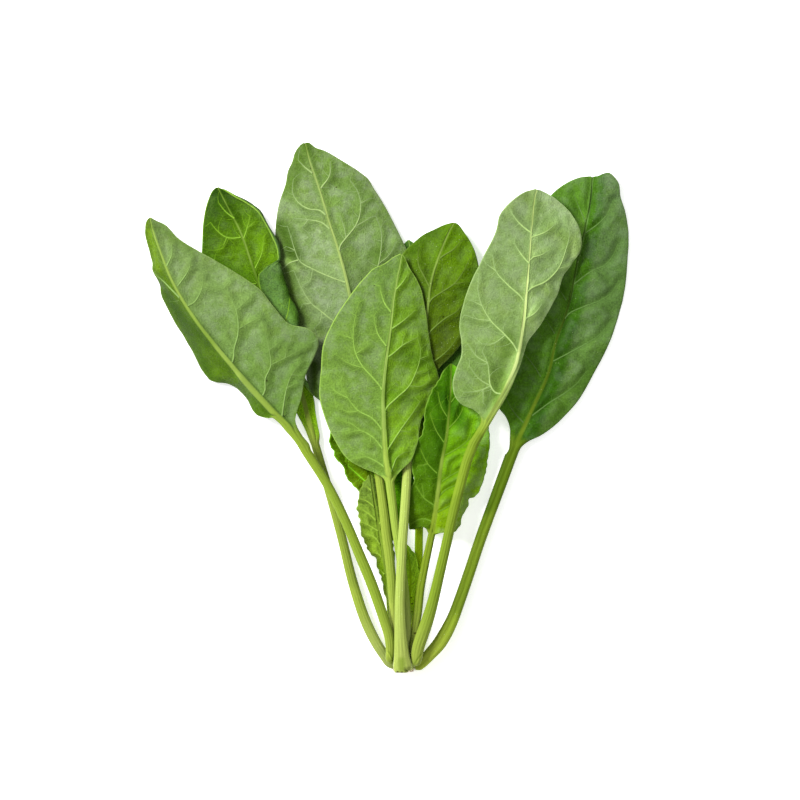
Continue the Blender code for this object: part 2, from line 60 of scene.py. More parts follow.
def add(tree, kind, sockets=None, **settings):
    """A new node's output: its settings are made, and its inputs set or linked by name or by place."""
    made = tree.nodes.new(kind)
    for name, value in settings.items():
        setattr(made, name, value)
    for key, value in (sockets or {}).items():
        if isinstance(key, int):
            socket = made.inputs[key]
        else:
            socket = next(s for s in made.inputs if s.name == key and s.enabled)
        for one in value if isinstance(value, list) else [value]:
            if isinstance(one, Output):
                tree.links.new(one.socket, socket)
            else:
                socket.default_value = one
    return Output(next(s for s in made.outputs if s.enabled))


class Output:
    """What a node puts out. Others are made from it, as sums and products are from a number."""

    def __init__(self, socket):
        self.socket = socket

    def __getitem__(self, name):
        """Another output of the same node."""
        return Output(next(s for s in self.socket.node.outputs if s.name == name and s.enabled))

    def node(self, kind, sockets, **settings):
        """A new node in the same tree."""
        return add(self.socket.id_data, kind, sockets, **settings)

    def work(self, operation, *others, **settings):
        """A number worked out from this one and others."""
        return self.node("ShaderNodeMath", dict(enumerate((self, *others))), operation=operation, **settings)

    def __add__(self, other):
        return self.work("ADD", other)

    def __sub__(self, other):
        return self.work("SUBTRACT", other)

    def __rsub__(self, other):
        return self.node("ShaderNodeMath", {0: other, 1: self}, operation="SUBTRACT")

    def __mul__(self, other):
        return self.work("MULTIPLY", other)

    def vector(self, operation, other):
        """A vector, or a length, worked out from this vector and another, or from it and its scale."""
        place = 3 if operation == "SCALE" else 1
        return self.node("ShaderNodeVectorMath", {0: self, place: other}, operation=operation)

    def ranged(self, low, high, to_low=0.0, to_high=1.0, easing="SMOOTHSTEP"):
        """A number brought from one range to another."""
        sockets = {0: self, 1: low, 2: high, 3: to_low, 4: to_high}
        return self.node("ShaderNodeMapRange", sockets, interpolation_type=easing)

    def noise(self, scale, detail=2.0, roughness=0.5):
        """Soft noise at a place."""
        sockets = {"Vector": self, "Scale": scale, "Detail": detail, "Roughness": roughness}
        return self.node("ShaderNodeTexNoise", sockets)

    def between(self, first, second):
        """The colour that lies between two by this share."""
        return self.node("ShaderNodeMix", {0: self, 6: first, 7: second}, data_type="RGBA")

    def tinted(self, tint):
        """This colour multiplied by another."""
        sockets = {0: 1.0, 6: self, 7: tint}
        return self.node("ShaderNodeMix", sockets, data_type="RGBA", blend_type="MULTIPLY")


def tone(red, green, blue):
    """A colour given as it looks on a screen, 0 to 255, for a shader."""
    linear = [((c / 255 + 0.055) / 1.055) ** 2.4 if c > 10 else c / 255 / 12.92 for c in (red, green, blue)]
    return (*linear, 1)


def new_material(name, roughness, specular):
    """A material, and its tree and Principled shader."""
    material = bpy.data.materials.new(name)
    material.use_nodes = True
    shader = material.node_tree.nodes["Principled BSDF"]
    shader.inputs["Roughness"].default_value = roughness
    shader.inputs["Specular IOR Level"].default_value = specular
    return material, material.node_tree, shader


def object_place(tree):
    """Where a point is on its object."""
    return add(tree, "ShaderNodeTexCoord")["Object"]


def wire(node, outputs):
    """Links outputs to a node's inputs by name."""
    for name, output in outputs.items():
        node.id_data.links.new(output.socket, node.inputs[name])


table_half = 1.6
table_below = 0.0002
table_mesh = bpy.data.meshes.new("table_top")
corners = [(-1, -1), (1, -1), (1, 1), (-1, 1)]
corners = [(x * table_half, y * table_half, -table_below) for x, y in corners]
table_mesh.from_pydata(corners, [], [(0, 1, 2, 3)])
table_top = bpy.data.objects.new("table_top", table_mesh)
bpy.context.scene.collection.objects.link(table_top)
white_paint, tree, shader = new_material("white table paint", roughness=0.75, specular=0.25)
wire(shader, {"Base Color": object_place(tree).noise(6, 3).between(tone(250, 250, 250), tone(253, 253, 253))})
shader.inputs["Emission Color"].default_value = (1, 1, 1, 1)
shader.inputs["Emission Strength"].default_value = 0.5
table_mesh.materials.append(white_paint)

sky = bpy.data.worlds.new("white room")
sky.use_nodes = True
sky.node_tree.nodes["Background"].inputs["Color"].default_value = (1, 1, 1, 1)
sky.node_tree.nodes["Background"].inputs["Strength"].default_value = 0.62
bpy.context.scene.world = sky

softbox_data = bpy.data.lights.new("softbox", "AREA")
softbox_data.shape = "RECTANGLE"
softbox_data.size = 0.6
softbox_data.size_y = 0.6
softbox_data.energy = 50
softbox = bpy.data.objects.new("softbox", softbox_data)
softbox.location = (-0.95, 0.85, 1.15)
softbox.rotation_euler = (Vector((0, 0.13, 0)) - softbox.location).to_track_quat("-Z", "Y").to_euler()
softbox.visible_camera = False
bpy.context.scene.collection.objects.link(softbox)

# The photograph's frame is 400 mm wide at the height of the leaves
frame_width = 0.4
leaf_height = 0.01
camera_height = 3.0
camera_data = bpy.data.cameras.new("camera")
camera_data.sensor_width = 36
camera_data.lens = camera_data.sensor_width * (camera_height - leaf_height) / frame_width
camera_data.clip_end = 20
camera = bpy.data.objects.new("camera", camera_data)
camera.location = (-0.001, 0.130, camera_height)
bpy.context.scene.collection.objects.link(camera)
bpy.context.scene.camera = camera
bpy.context.scene.view_settings.view_transform = "Standard"


# Root crown
# The short stem that every leaf grows from, cut across below. It is firm pale green tissue with a
# cream rim at the cut, where brown threads of root are left.


def node_group(name, kind, outputs, inputs):
    """A node tree with named outputs and inputs, each input given by its value or by its kind."""
    tree = bpy.data.node_groups.new(name, kind)
    kinds = {float: "Float", int: "Int", tuple: "Color"}
    for title, value in inputs.items():
        input_kind = value if isinstance(value, str) else kinds[type(value)]
        socket = tree.interface.new_socket(title, in_out="INPUT", socket_type="NodeSocket" + input_kind)
        if not isinstance(value, str):
            socket.default_value = value
    for title, output_kind in outputs.items():
        tree.interface.new_socket(title, in_out="OUTPUT", socket_type="NodeSocket" + output_kind)
    return tree, add(tree, "NodeGroupInput"), tree.nodes.new("NodeGroupOutput")


def measure(tree, name, kind="FLOAT"):
    """A measure kept on the points, read in a Geometry Nodes tree."""
    return add(tree, "GeometryNodeInputNamedAttribute", {"Name": name}, data_type=kind)


def stored(geometry, name, value):
    """The geometry with a measure kept on its points."""
    sockets = {"Geometry": geometry, "Name": name, "Value": value}
    return geometry.node("GeometryNodeStoreNamedAttribute", sockets)


def joined(*parts):
    """The parts as one geometry."""
    return parts[0].node("GeometryNodeJoinGeometry", {0: list(parts)})


def placed(points, part, rotation, scale):
    """A part set on points."""
    sockets = {"Points": points, "Instance": part, "Rotation": rotation, "Scale": scale}
    return points.node("GeometryNodeInstanceOnPoints", sockets)


def made_real(geometry):
    """The geometry with its instances made real."""
    return geometry.node("GeometryNodeRealizeInstances", {"Geometry": geometry})


def dressed(geometry, material, selection=True):
    """The geometry with a material set."""
    sockets = {"Geometry": geometry, "Material": material, "Selection": selection}
    return geometry.node("GeometryNodeSetMaterial", sockets)


def settle(piece, tree, values):
    """Runs a Geometry Nodes tree on a piece and keeps the result as its plain mesh, inside the CAD box."""
    modifier = piece.modifiers.new(tree.name, "NODES")
    modifier.node_group = tree
    for item in tree.interface.items_tree:
        if item.item_type == "SOCKET" and item.in_out == "INPUT" and item.name in values:
            modifier[item.identifier] = values[item.name]
    bpy.context.view_layer.update()
    graph = bpy.context.evaluated_depsgraph_get()
    seen = piece.evaluated_get(graph)
    plain = bpy.data.meshes.new_from_object(seen, preserve_all_data_layers=True, depsgraph=graph)
    piece.modifiers.remove(modifier)
    piece.data = plain
    points = np.empty(len(plain.vertices) * 3)
    plain.vertices.foreach_get("co", points)
    plain.vertices.foreach_set("co", np.clip(points.reshape(-1, 3), cad_low, cad_high).ravel())
    plain.update()


def new_piece(name, points, faces):
    """A smooth mesh object at the origin, its points given in millimetres."""
    mesh = bpy.data.meshes.new(name)
    mesh.from_pydata((np.asarray(points) * 0.001).tolist(), [], faces)
    mesh.shade_smooth()
    piece = bpy.data.objects.new(name, mesh)
    bpy.context.scene.collection.objects.link(piece)
    return piece


crown_x, crown_z = 0.8, 4.9
crown_rings = (
    (-6.0, 1.2), (-6.15, 2.6), (-6.1, 3.7), (-5.7, 4.5), (-5.1, 5.0), (-4.2, 5.2), (-2.8, 5.3), (-1.5, 5.3),
    (-0.4, 5.25), (0.6, 5.1), (1.5, 4.8), (2.3, 4.2), (2.9, 3.0), (3.1, 1.2),
)
crown_sides = 96
coarse_lumps, coarse_lump, coarse_twist = 7, 0.03, 0.4
fine_lumps, fine_lump, fine_twist = 13, 0.015, 0.7
cut_rings, cut_waves, cut_wave = 4, 5, 0.16
cut_front, cut_back = -0.0057, -0.0042
points = []
for k, (y, radius) in enumerate(crown_rings):
    for j in range(crown_sides):
        turn = 2 * math.pi * j / crown_sides
        lump = 1 + coarse_lump * math.sin(coarse_lumps * turn + coarse_twist * y)
        lump += fine_lump * math.sin(fine_lumps * turn - fine_twist * y)
        x = crown_x + radius * lump * math.sin(turn)
        z = max(crown_z - radius * lump * math.cos(turn), 0)
        points.append((x, y + cut_wave * math.sin(cut_waves * turn) * (k < cut_rings), z))
faces = []
last = (len(crown_rings) - 1) * crown_sides
for start in range(0, last, crown_sides):
    for j in range(crown_sides):
        a, b = start + j, start + (j + 1) % crown_sides
        faces.append((a, a + crown_sides, b + crown_sides, b))
faces.append(tuple(range(crown_sides)))
faces.append(tuple(last + j for j in reversed(range(crown_sides))))
crown = new_piece("root_crown_piece", points, faces)

crown_skin, tree, shader = new_material("crown skin", roughness=0.55, specular=0.4)
place = object_place(tree)
cut = add(tree, "ShaderNodeSeparateXYZ", {0: place})["Y"].ranged(cut_front, cut_back, 1, 0, "LINEAR")
stained = place.noise(900, 4, 0.7).ranged(0.52, 0.7, 0, 1, "LINEAR")
fibre = add(tree, "ShaderNodeMapping", {0: place, 3: (900, 120, 900)}).noise(1)
rimmed = cut.between(fibre.between(tone(140, 164, 60), tone(176, 192, 96)), tone(214, 202, 160))
soiled = (stained * cut).between(rimmed, tone(112, 74, 44))
bump = add(tree, "ShaderNodeBump", {"Strength": 0.5, "Distance": 0.0004, "Height": fibre})
wire(shader, {"Base Color": soiled, "Normal": bump})

root_thread, tree, shader = new_material("root thread", roughness=0.8, specular=0.2)
wire(shader, {"Base Color": object_place(tree).noise(1500).between(tone(84, 52, 30), tone(176, 138, 96))})

# Broken root threads, thin cones that lean all ways, stand on the cut
threads, given, result = node_group(
    "broken root threads", "GeometryNodeTree", {"Geometry": "Geometry"},
    {
        "Geometry": "Geometry", "Front Of": -0.0048, "Threads Per Square Metre": 900000.0, "Length": 0.0012,
        "Thickness": 0.0001, "Seed": 3, "Skin": "Material", "Thread": "Material",
    },
)
y = add(threads, "ShaderNodeSeparateXYZ", {0: add(threads, "GeometryNodeInputPosition")})["Y"]
near_cut = add(threads, "FunctionNodeCompare", {"A": y, "B": given["Front Of"]}, operation="LESS_THAN")
spots = add(threads, "GeometryNodeDistributePointsOnFaces", {
    "Mesh": given["Geometry"], "Selection": near_cut, "Density": given["Threads Per Square Metre"],
    "Seed": given["Seed"],
})
stub = add(threads, "GeometryNodeMeshCone", {
    "Vertices": 5, "Side Segments": 3, "Radius Top": given["Thickness"] * 0.3,
    "Radius Bottom": given["Thickness"], "Depth": given["Length"],
})
least_and_most = {0: (-0.9, -0.9, 0), 1: (0.9, 0.9, 6.3), "Seed": given["Seed"]}
lean = add(threads, "FunctionNodeRandomValue", least_and_most, data_type="FLOAT_VECTOR")
lean = add(threads, "FunctionNodeEulerToRotation", {0: lean})
turned = add(threads, "FunctionNodeRotateRotation", {0: spots["Rotation"], 1: lean}, rotation_space="LOCAL")
size = add(threads, "FunctionNodeRandomValue", {"Min": 0.4, "Max": 1.5, "Seed": given["Seed"]})
whole = made_real(joined(given["Geometry"], placed(spots, stored(stub, "thread", 1.0), turned, size)))
whole = dressed(dressed(whole, given["Skin"]), given["Thread"], measure(threads, "thread"))
wire(result, {"Geometry": whole})

settle(crown, threads, {"Skin": crown_skin, "Thread": root_thread})
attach(crown, "root")
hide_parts("root_crown")


# Right leaf, the lowest
# A spinach leaf is one soft blade about half a millimetre thick on a juicy ribbed stalk. The stalk
# runs on as the midrib, which stands out below and is a shallow groove above. This one lies with
# its dark upper side up, folded along the midrib like a shallow trough.


def smooth(knots, values, at):
    """A smooth curve through the values at their knots, read at other places."""
    knots = np.asarray(knots, float)
    values = np.asarray(values, float)
    slopes = np.gradient(values, knots, axis=0)
    i = np.clip(np.searchsorted(knots, at, side="right") - 1, 0, len(knots) - 2)
    width = knots[i + 1] - knots[i]
    s = (at - knots[i]) / width
    if values.ndim > 1:
        s, width = s[:, None], width[:, None]
    return (
        (1 + 2 * s) * (1 - s) ** 2 * values[i]
        + s * (1 - s) ** 2 * width * slopes[i]
        + s**2 * (3 - 2 * s) * values[i + 1]
        + s**2 * (s - 1) * width * slopes[i + 1]
    )


def line_through(points, at):
    """Places on a smooth line through the points, at fractions of its length seen from above."""
    points = np.asarray(points, float)
    steps = np.linalg.norm(np.diff(points[:, :2], axis=0), axis=1)
    knots = np.concatenate([[0], np.cumsum(steps)]) / steps.sum()
    return smooth(knots, points, at)


def evenly(values, at):
    """A smooth value between numbers given at even steps from 0 to 1."""
    return smooth(np.linspace(0, 1, len(values)), values, at)


def ease(x):
    """An eased step from 0 to 1."""
    x = np.clip(x, 0, 1)
    return x * x * (3 - 2 * x)


def margin_line(margin, midrib, at, fan):
    """Where each row of the blade meets its margin, partly the nearest row and partly by length."""
    dense = np.linspace(0, 1, 401)
    edge = line_through(margin, dense)
    rib = line_through(midrib, dense)[:, :2]
    nearest = np.argmin(np.linalg.norm(edge[:, None] - rib[None], axis=2), axis=1) / (len(dense) - 1)
    nearest = np.maximum.accumulate(nearest)
    nearest = (nearest - nearest[0]) / (1 - nearest[0])
    row = (1 - fan) * nearest + fan * dense
    return np.column_stack([np.interp(at, row, edge[:, 0]), np.interp(at, row, edge[:, 1])])


# The blade and its midrib, in millimetres, with how fast the rib tapers and the blade bends
blade_thickness = 0.46
margin_thickness = 0.1
rib_end_half = 0.25
rib_least_height = 0.3
rib_groove = 0.16
flap_height = 3.0
full_notches_from = 3
rib_taper = 1.7
bend_power = 1.35

# The stalk: its depth to its width, its deepest in millimetres, where the blade beside it is flat
# and has its own height, in half widths of the stalk, and its flutes and its groove
stalk_depth = 0.8
stalk_most_depth = 4.0
rib_depth = 0.62
least_round = 0.03
flat_from, own_height_from = 1.5, 3
flutes, flute_depth = 6, 0.03
groove_width, groove_depth = 0.34, 0.2

# Rows along the foot and the blade, and a distance to the margin where there is only stalk
foot_rows = 16
even_rows = 0.6
last_row = 0.996
far_from_margin = 10


def turn_over(distance, width, flap):
    """Distance from the rib as a sideways step and a rise, where a flap of the margin turns over."""
    radius = flap_height / 2 * ease(flap / (2 * flap_height))
    straight = width - radius
    turned = np.clip(distance - straight, 0, np.pi * radius)
    angle = turned / np.maximum(radius, 1e-6)
    back = np.maximum(distance - straight - np.pi * radius, 0)
    return np.minimum(distance, straight) + radius * np.sin(angle) - back, radius * (1 - np.cos(angle))


def notches(along, side):
    """How far a ragged margin stands out or is bitten in, unevenly along the leaf."""
    return np.sin(along * 1.1 + 2 * side) * np.sin(along * 0.43 + side) + 0.4 * np.sin(along * 1.9) - 0.6


def stem(stalk, foot, rows, widths, flare, rounding):
    """A stalk's middle line and its width in each row, with its foot at the crown if it has one."""
    at = np.linspace(0, 1, rows, endpoint=False)
    line = line_through(stalk, at)
    width = evenly(widths, at)
    if foot:
        foot_line = line_through(foot + stalk[:2], np.linspace(0, 1, 40))
        nearest = np.argmin(np.linalg.norm(foot_line - np.asarray(stalk[0]), axis=1))
        foot_line = line_through(foot_line[: nearest + 1], np.linspace(0, 1, foot_rows, endpoint=False))
        line = np.concatenate([foot_line, line])
        width = np.concatenate([np.full(foot_rows, width[0]), width])
    so_far = np.linalg.norm(np.diff(line, axis=0, prepend=line[:1]), axis=1).cumsum()
    width = width + flare[0] * np.exp(-so_far / flare[1])
    if foot:
        rounded = np.clip(so_far / rounding, 0.02, 1)
        width = width * np.sqrt(rounded * (2 - rounded))
    return line, width


def leaf_skin(
    name, stalk, midrib, left, right, left_z, right_z, stalk_widths, waves=None, flaps=None, fan=None,
    underside_up=True, rows=(60, 168), columns=(6, 30), crest=0.45, foot=None, flare=(0.0, 3.2),
    rounding=1.6, ragged=0.0,
):
    """A closed leaf of stalk and blade, with the measures that its finish reads kept on its points."""
    u = np.linspace(0, 1, rows[1])
    at = last_row * (even_rows * u + (1 - even_rows) * (1 - np.cos(math.pi * u)) / 2)
    stalk_line, stalk_width = stem(stalk, foot, rows[0], stalk_widths, flare, rounding)
    n_stalk = len(stalk_line)
    midrib = [stalk[-1]] + midrib
    centre = np.concatenate([stalk_line, line_through(midrib, at)])
    ahead = np.gradient(centre[:, :2], axis=0)
    ahead /= np.linalg.norm(ahead, axis=1)[:, None]
    leftwards = np.column_stack([-ahead[:, 1], ahead[:, 0]])
    steps = np.linalg.norm(np.diff(centre, axis=0), axis=1)
    along = np.concatenate([[0], np.cumsum(steps)])

    rib_half = rib_end_half + (stalk_widths[-1] / 2 - rib_end_half) * (1 - at) ** rib_taper
    half = np.concatenate([stalk_width / 2, rib_half])
    depth = np.minimum(half * 2 * stalk_depth, stalk_most_depth)
    rib_height = np.maximum(depth * rib_depth, rib_least_height)

    found = {}
    for name_of_side, side, margin, margin_z in (("left", 1, left, left_z), ("right", -1, right, right_z)):
        beside = centre[:, :2] + side * half[:, None] * leftwards
        spread_by = (fan or {}).get(name_of_side, 0.5)
        edge = margin_line([tuple(beside[n_stalk])] + margin + [midrib[-1][:2]], midrib, at, spread_by)
        reach = np.concatenate([beside[:n_stalk], edge])
        width = np.linalg.norm(reach - centre[:, :2], axis=1)
        outwards = (reach - centre[:, :2]) / width[:, None]
        width = width + ragged * ease((width - half) / full_notches_from) * notches(along, side)
        flat = ease((width - half) / (flat_from * half))
        flat[:n_stalk] = 0
        edge_z = np.concatenate([stalk_line[:, 2], evenly(margin_z, at)])
        edge_z = centre[:, 2] + (edge_z - centre[:, 2]) * ease((width - half) / (own_height_from * half))
        height, count, phase = (waves or {}).get(name_of_side, (0, 1, 0))
        wave = np.zeros(len(centre))
        wave[n_stalk:] = height * np.sqrt(4 * at * (1 - at)) * np.sin(2 * math.pi * (count * at + phase))
        flap = np.zeros(len(centre))
        if flaps and name_of_side in flaps:
            flap[n_stalk:] = np.interp(at, *zip(*flaps[name_of_side]))
        inner, total = columns[0], sum(columns)
        strips = []
        for j in range(total + 1):
            angle = math.pi / 2 * j / total
            half_share = np.minimum(half / width, 1)
            if j <= inner:
                across_blade = half_share * j / inner
                rib_shape = math.sqrt(1 - (j / inner) ** 2)
            else:
                across_blade = half_share + (1 - half_share) * (j - inner) / columns[1]
                rib_shape = 0
            across = flat * across_blade + (1 - flat) * math.sin(angle)
            distance = across * (width + flap)
            sideways, rise = turn_over(distance, width, flap)
            out = np.clip(sideways / width, 0, 1)
            z = centre[:, 2] + (edge_z - centre[:, 2]) * out**bend_power + wave * out**2 + rise
            thin = margin_thickness if j == total else blade_thickness
            round_half = depth / 2 * math.cos(angle) + least_round
            fluted = round_half * (1 + flute_depth * math.cos(flutes * math.pi * j / total))
            grooved = round_half * (1 - groove_depth * math.exp(-((math.sin(angle) / groove_width) ** 2)))
            under = flat * (thin / 2 + rib_height * rib_shape) + (1 - flat) * fluted
            upper = flat * (thin / 2 - rib_groove * rib_shape) + (1 - flat) * grooved
            up, down = (under, upper) if underside_up else (upper, under)
            strips.append({
                "place": np.column_stack([centre[:, :2] + sideways[:, None] * outwards, z]),
                "up": up,
                "down": down,
                "across": side * distance,
                "turn": np.full(len(centre), side * j / total),
                "rib": 1 - flat * ease((distance - half * crest) / (half * 0.35 + 0.25)),
                "margin": flat * (width + flap - distance) + (1 - flat) * far_from_margin,
            })
        found[name_of_side] = strips
    strips = found["left"][:0:-1] + found["right"]
    grid = {key: np.stack([strip[key] for strip in strips], axis=1) for key in strips[0]}

    place = grid["place"]
    normal = np.cross(np.gradient(place, axis=1), np.gradient(place, axis=0))
    normal /= np.linalg.norm(normal, axis=2)[:, :, None]
    n_rows, n_columns = place.shape[:2]
    top = (place + normal * grid["up"][:, :, None]).reshape(-1, 3)
    bottom = (place - normal * grid["down"][:, :, None]).reshape(-1, 3)
    corner = (np.arange(n_rows - 1)[:, None] * n_columns + np.arange(n_columns - 1)[None]).ravel()
    quads = np.column_stack([corner, corner + 1, corner + n_columns + 1, corner + n_columns])
    under_quads = quads[:, ::-1] + len(top)
    rim = list(range(n_columns))
    rim += [k * n_columns + n_columns - 1 for k in range(1, n_rows)]
    rim += [(n_rows - 1) * n_columns + j for j in range(n_columns - 2, -1, -1)]
    rim += [k * n_columns for k in range(n_rows - 2, 0, -1)]
    rim_quads = [(a, a + len(top), b + len(top), b) for a, b in zip(rim, rim[1:] + rim[:1])]
    faces = quads.tolist() + under_quads.tolist() + rim_quads
    piece = new_piece(name, np.concatenate([top, bottom]), faces)

    rows_of = np.repeat(np.arange(n_rows), n_columns)
    measures = {key: grid[key].ravel() for key in ("across", "turn", "rib", "margin")}
    measures["along"] = along[rows_of]
    measures["tipwards"] = np.concatenate([np.zeros(n_stalk), at])[rows_of]
    for key, values in measures.items():
        piece.data.attributes.new(key, "FLOAT", "POINT").data.foreach_set("value", np.tile(values, 2))
    sides = np.repeat([0.0, 1.0] if underside_up else [1.0, 0.0], len(top))
    piece.data.attributes.new("upper", "FLOAT", "POINT").data.foreach_set("value", sides)
    towards_upper = normal.reshape(-1, 3) * (-1 if underside_up else 1)
    way = piece.data.attributes.new("towards_upper", "FLOAT_VECTOR", "POINT")
    way.data.foreach_set("vector", np.tile(towards_upper, (2, 1)).ravel())
    return piece


def vein_lines(midrib, veins, branches):
    """The veins of a leaf drawn flat, as edges, with how thick each one is."""
    drawn_step = 1.2
    points, edges, thick = [], [], []
    for lines, thickness in (([midrib], 0.0), (veins, 1.0), (branches, 0.6)):
        for line in lines:
            length = np.linalg.norm(np.diff(np.asarray(line)[:, :2], axis=0), axis=1).sum()
            drawn = line_through([p[:2] for p in line], np.linspace(0, 1, max(int(length / drawn_step), 3)))
            edges += [(len(points) + k, len(points) + k + 1) for k in range(len(drawn) - 1)]
            points += [(x * 0.001, y * 0.001, 0) for x, y in drawn]
            thick += [thickness] * len(drawn)
    mesh = bpy.data.meshes.new("vein lines")
    mesh.from_pydata(points, edges, [])
    mesh.attributes.new("thick", "FLOAT", "POINT").data.foreach_set("value", thick)
    lines = bpy.data.objects.new("vein lines", mesh)
    bpy.context.scene.collection.objects.link(lines)
    return lines


# The blade bulges between its veins towards its upper side, and ripples finely all over
relief, given, result = node_group(
    "bulging blade and its veins", "GeometryNodeTree", {"Geometry": "Geometry"},
    {
        "Geometry": "Geometry", "Vein Lines": "Object", "Bulge Height": 0.0005, "Bulge Reach": 0.004,
        "Ripple Height": 0.0003, "Ripple Scale": 90.0, "Vein Radius": 0.0004, "Vein Tip Radius": 0.00012,
        "Vein Step": 0.001, "Twig Step": 0.006, "Twig Length": 0.0075, "Sunk": 0.25, "Seed": 0.0,
        "Flesh": "Material", "Vein": "Material",
    },
)
lines = add(relief, "GeometryNodeObjectInfo", {"Object": given["Vein Lines"]})["Geometry"]
position = add(relief, "GeometryNodeInputPosition")
seen_flat = position.vector("MULTIPLY", (1, 1, 0))
nearest = {"Geometry": lines, "Sample Position": seen_flat}
from_vein = add(relief, "GeometryNodeProximity", nearest, target_element="EDGES")["Distance"]
bulge = (from_vein.ranged(0, given["Bulge Reach"]) - 0.4) * given["Bulge Height"]
ripple = seen_flat.vector("ADD", given["Seed"]).noise(given["Ripple Scale"], 2.5) - 0.5
lift = (bulge + ripple * (given["Ripple Height"] * 4.0)) * (1.0 - measure(relief, "rib"))
shift = measure(relief, "towards_upper", "FLOAT_VECTOR").vector("SCALE", lift)
bulged = add(relief, "GeometryNodeSetPosition", {"Geometry": given["Geometry"], "Offset": shift})
blade = stored(bulged, "from_vein", from_vein * 1000.0)


def resampled(curve, step):
    """A curve with its points at even steps."""
    return curve.node("GeometryNodeResampleCurve", {"Curve": curve, "Length": step}, mode="LENGTH")


# Twigs bow out from the veins to the left and to the right by turns
thick = measure(relief, "thick")
drawn = add(relief, "GeometryNodeMeshToCurve", {"Mesh": lines, "Selection": thick})
bow = {"Resolution": 4, "Start": (0, 0, 0), "Middle": (0.5, 0.22, 0), "End": (1, 0, 0)}
bow = add(relief, "GeometryNodeCurveQuadraticBezier", bow)
ahead = {"Vector": add(relief, "GeometryNodeInputTangent")}
ahead = add(relief, "FunctionNodeAlignRotationToVector", ahead, axis="X")
left_or_right = add(relief, "GeometryNodeInputIndex").work("MODULO", 2.0) * 2.0 - 1.0
lean = left_or_right * add(relief, "FunctionNodeRandomValue", {"Min": 0.6, "Max": 1.25})
lean = add(relief, "FunctionNodeAxisAngleToRotation", {"Axis": (0, 0, 1), "Angle": lean})
facing = add(relief, "FunctionNodeRotateRotation", {0: ahead, 1: lean}, rotation_space="LOCAL")
twig_size = add(relief, "FunctionNodeRandomValue", {"Min": 0.35, "Max": 1.4}) * given["Twig Length"]
twigs = made_real(placed(resampled(drawn, given["Twig Step"]), bow, facing, twig_size))
cords = resampled(joined(drawn, stored(twigs, "thick", 0.3)), given["Vein Step"])

# Veins and twigs are thin cords laid on the blade from above, which taper outwards and stop at the midrib
outwards = add(relief, "GeometryNodeSplineParameter")["Factor"]
radius = outwards.ranged(0, 1, given["Vein Radius"], given["Vein Tip Radius"], "LINEAR") * thick
hit = add(relief, "GeometryNodeRaycast", {
    "Target Geometry": blade, "Attribute": measure(relief, "rib"),
    "Source Position": position.vector("ADD", (0, 0, 0.05)), "Ray Direction": (0, 0, -1), "Ray Length": 0.1,
})
into = hit["Hit Normal"].vector("SCALE", radius * (given["Sunk"] * -1.0))
laid = add(relief, "GeometryNodeSetPosition", {
    "Geometry": stored(cords, "outwards", outwards), "Selection": hit["Is Hit"],
    "Position": hit["Hit Position"].vector("ADD", into),
})
missed = add(relief, "FunctionNodeBooleanMath", {0: hit["Is Hit"]}, operation="NOT")
on_rib = add(relief, "FunctionNodeCompare", {"A": hit["Attribute"], "B": 0.85}, operation="GREATER_THAN")
unwanted = add(relief, "FunctionNodeBooleanMath", {0: missed, 1: on_rib}, operation="OR")
held = add(relief, "GeometryNodeDeleteGeometry", {"Geometry": laid, "Selection": unwanted}, domain="POINT")
points_left = {"A": add(relief, "GeometryNodeSplineLength")["Point Count"], "B": 2}
too_short = add(relief, "FunctionNodeCompare", points_left, data_type="INT", operation="LESS_THAN")
held = add(relief, "GeometryNodeDeleteGeometry", {"Geometry": held, "Selection": too_short}, domain="CURVE")
ring = add(relief, "GeometryNodeCurvePrimitiveCircle", {"Resolution": 7, "Radius": 1.0})
tube = {"Curve": held, "Profile Curve": ring, "Scale": radius, "Fill Caps": True}
soft = {"Geometry": add(relief, "GeometryNodeCurveToMesh", tube), "Shade Smooth": True}
soft = add(relief, "GeometryNodeSetShadeSmooth", soft)
whole = made_real(joined(blade, stored(soft, "is_vein", 1.0)))
whole = dressed(dressed(whole, given["Flesh"]), given["Vein"], measure(relief, "is_vein"))
wire(result, {"Geometry": whole})

# The living colour of a leaf: patches, a fine net of small veins, a pale edge and a streaked rib
untinted = (1.0, 1.0, 1.0, 1.0)
tissue, given, result = node_group(
    "leaf tissue", "ShaderNodeTree", {"Colour": "Color", "Roughness": "Float", "Height": "Float"},
    {
        "Under": "Color", "Upper": "Color", "Rib": "Color", "Stalk": "Color", "Stalk Base": "Color",
        "Pale": "Color", "Base Tint": untinted, "Tip Tint": untinted, "Left Tint": untinted,
        "Right Tint": untinted, "Rib From": 0.35, "Halo": 0.14, "Net": 0.1, "Edge": 0.5, "Mottle": 0.64,
        "Bloom": 0.12, "Sheen": 0.0, "Sheen Left": 1.0, "Stalk Light": 0.16, "Crease": 0.0, "Specks": 0.0,
        "Seed": 0.0,
    },
)


def reading(tree, name):
    """A measure kept on a leaf's points, read in a material."""
    return add(tree, "ShaderNodeAttribute", attribute_name=name)["Fac"]


place = object_place(tissue).vector("SCALE", 1000.0).vector("ADD", given["Seed"])
rib, upper, margin, from_vein, across, along, turn, tipwards = (
    reading(tissue, name)
    for name in ("rib", "upper", "margin", "from_vein", "across", "along", "turn", "tipwards")
)
off_rib = 1.0 - rib

# Each side has its own green, changing from base to tip and from left to right, partly as painted light and
# shade
flesh = upper.between(given["Under"], given["Upper"])
flesh = flesh.tinted(tipwards.between(given["Base Tint"], given["Tip Tint"]))
flesh = flesh.tinted(across.ranged(-1.5, 1.5).between(given["Right Tint"], given["Left Tint"]))
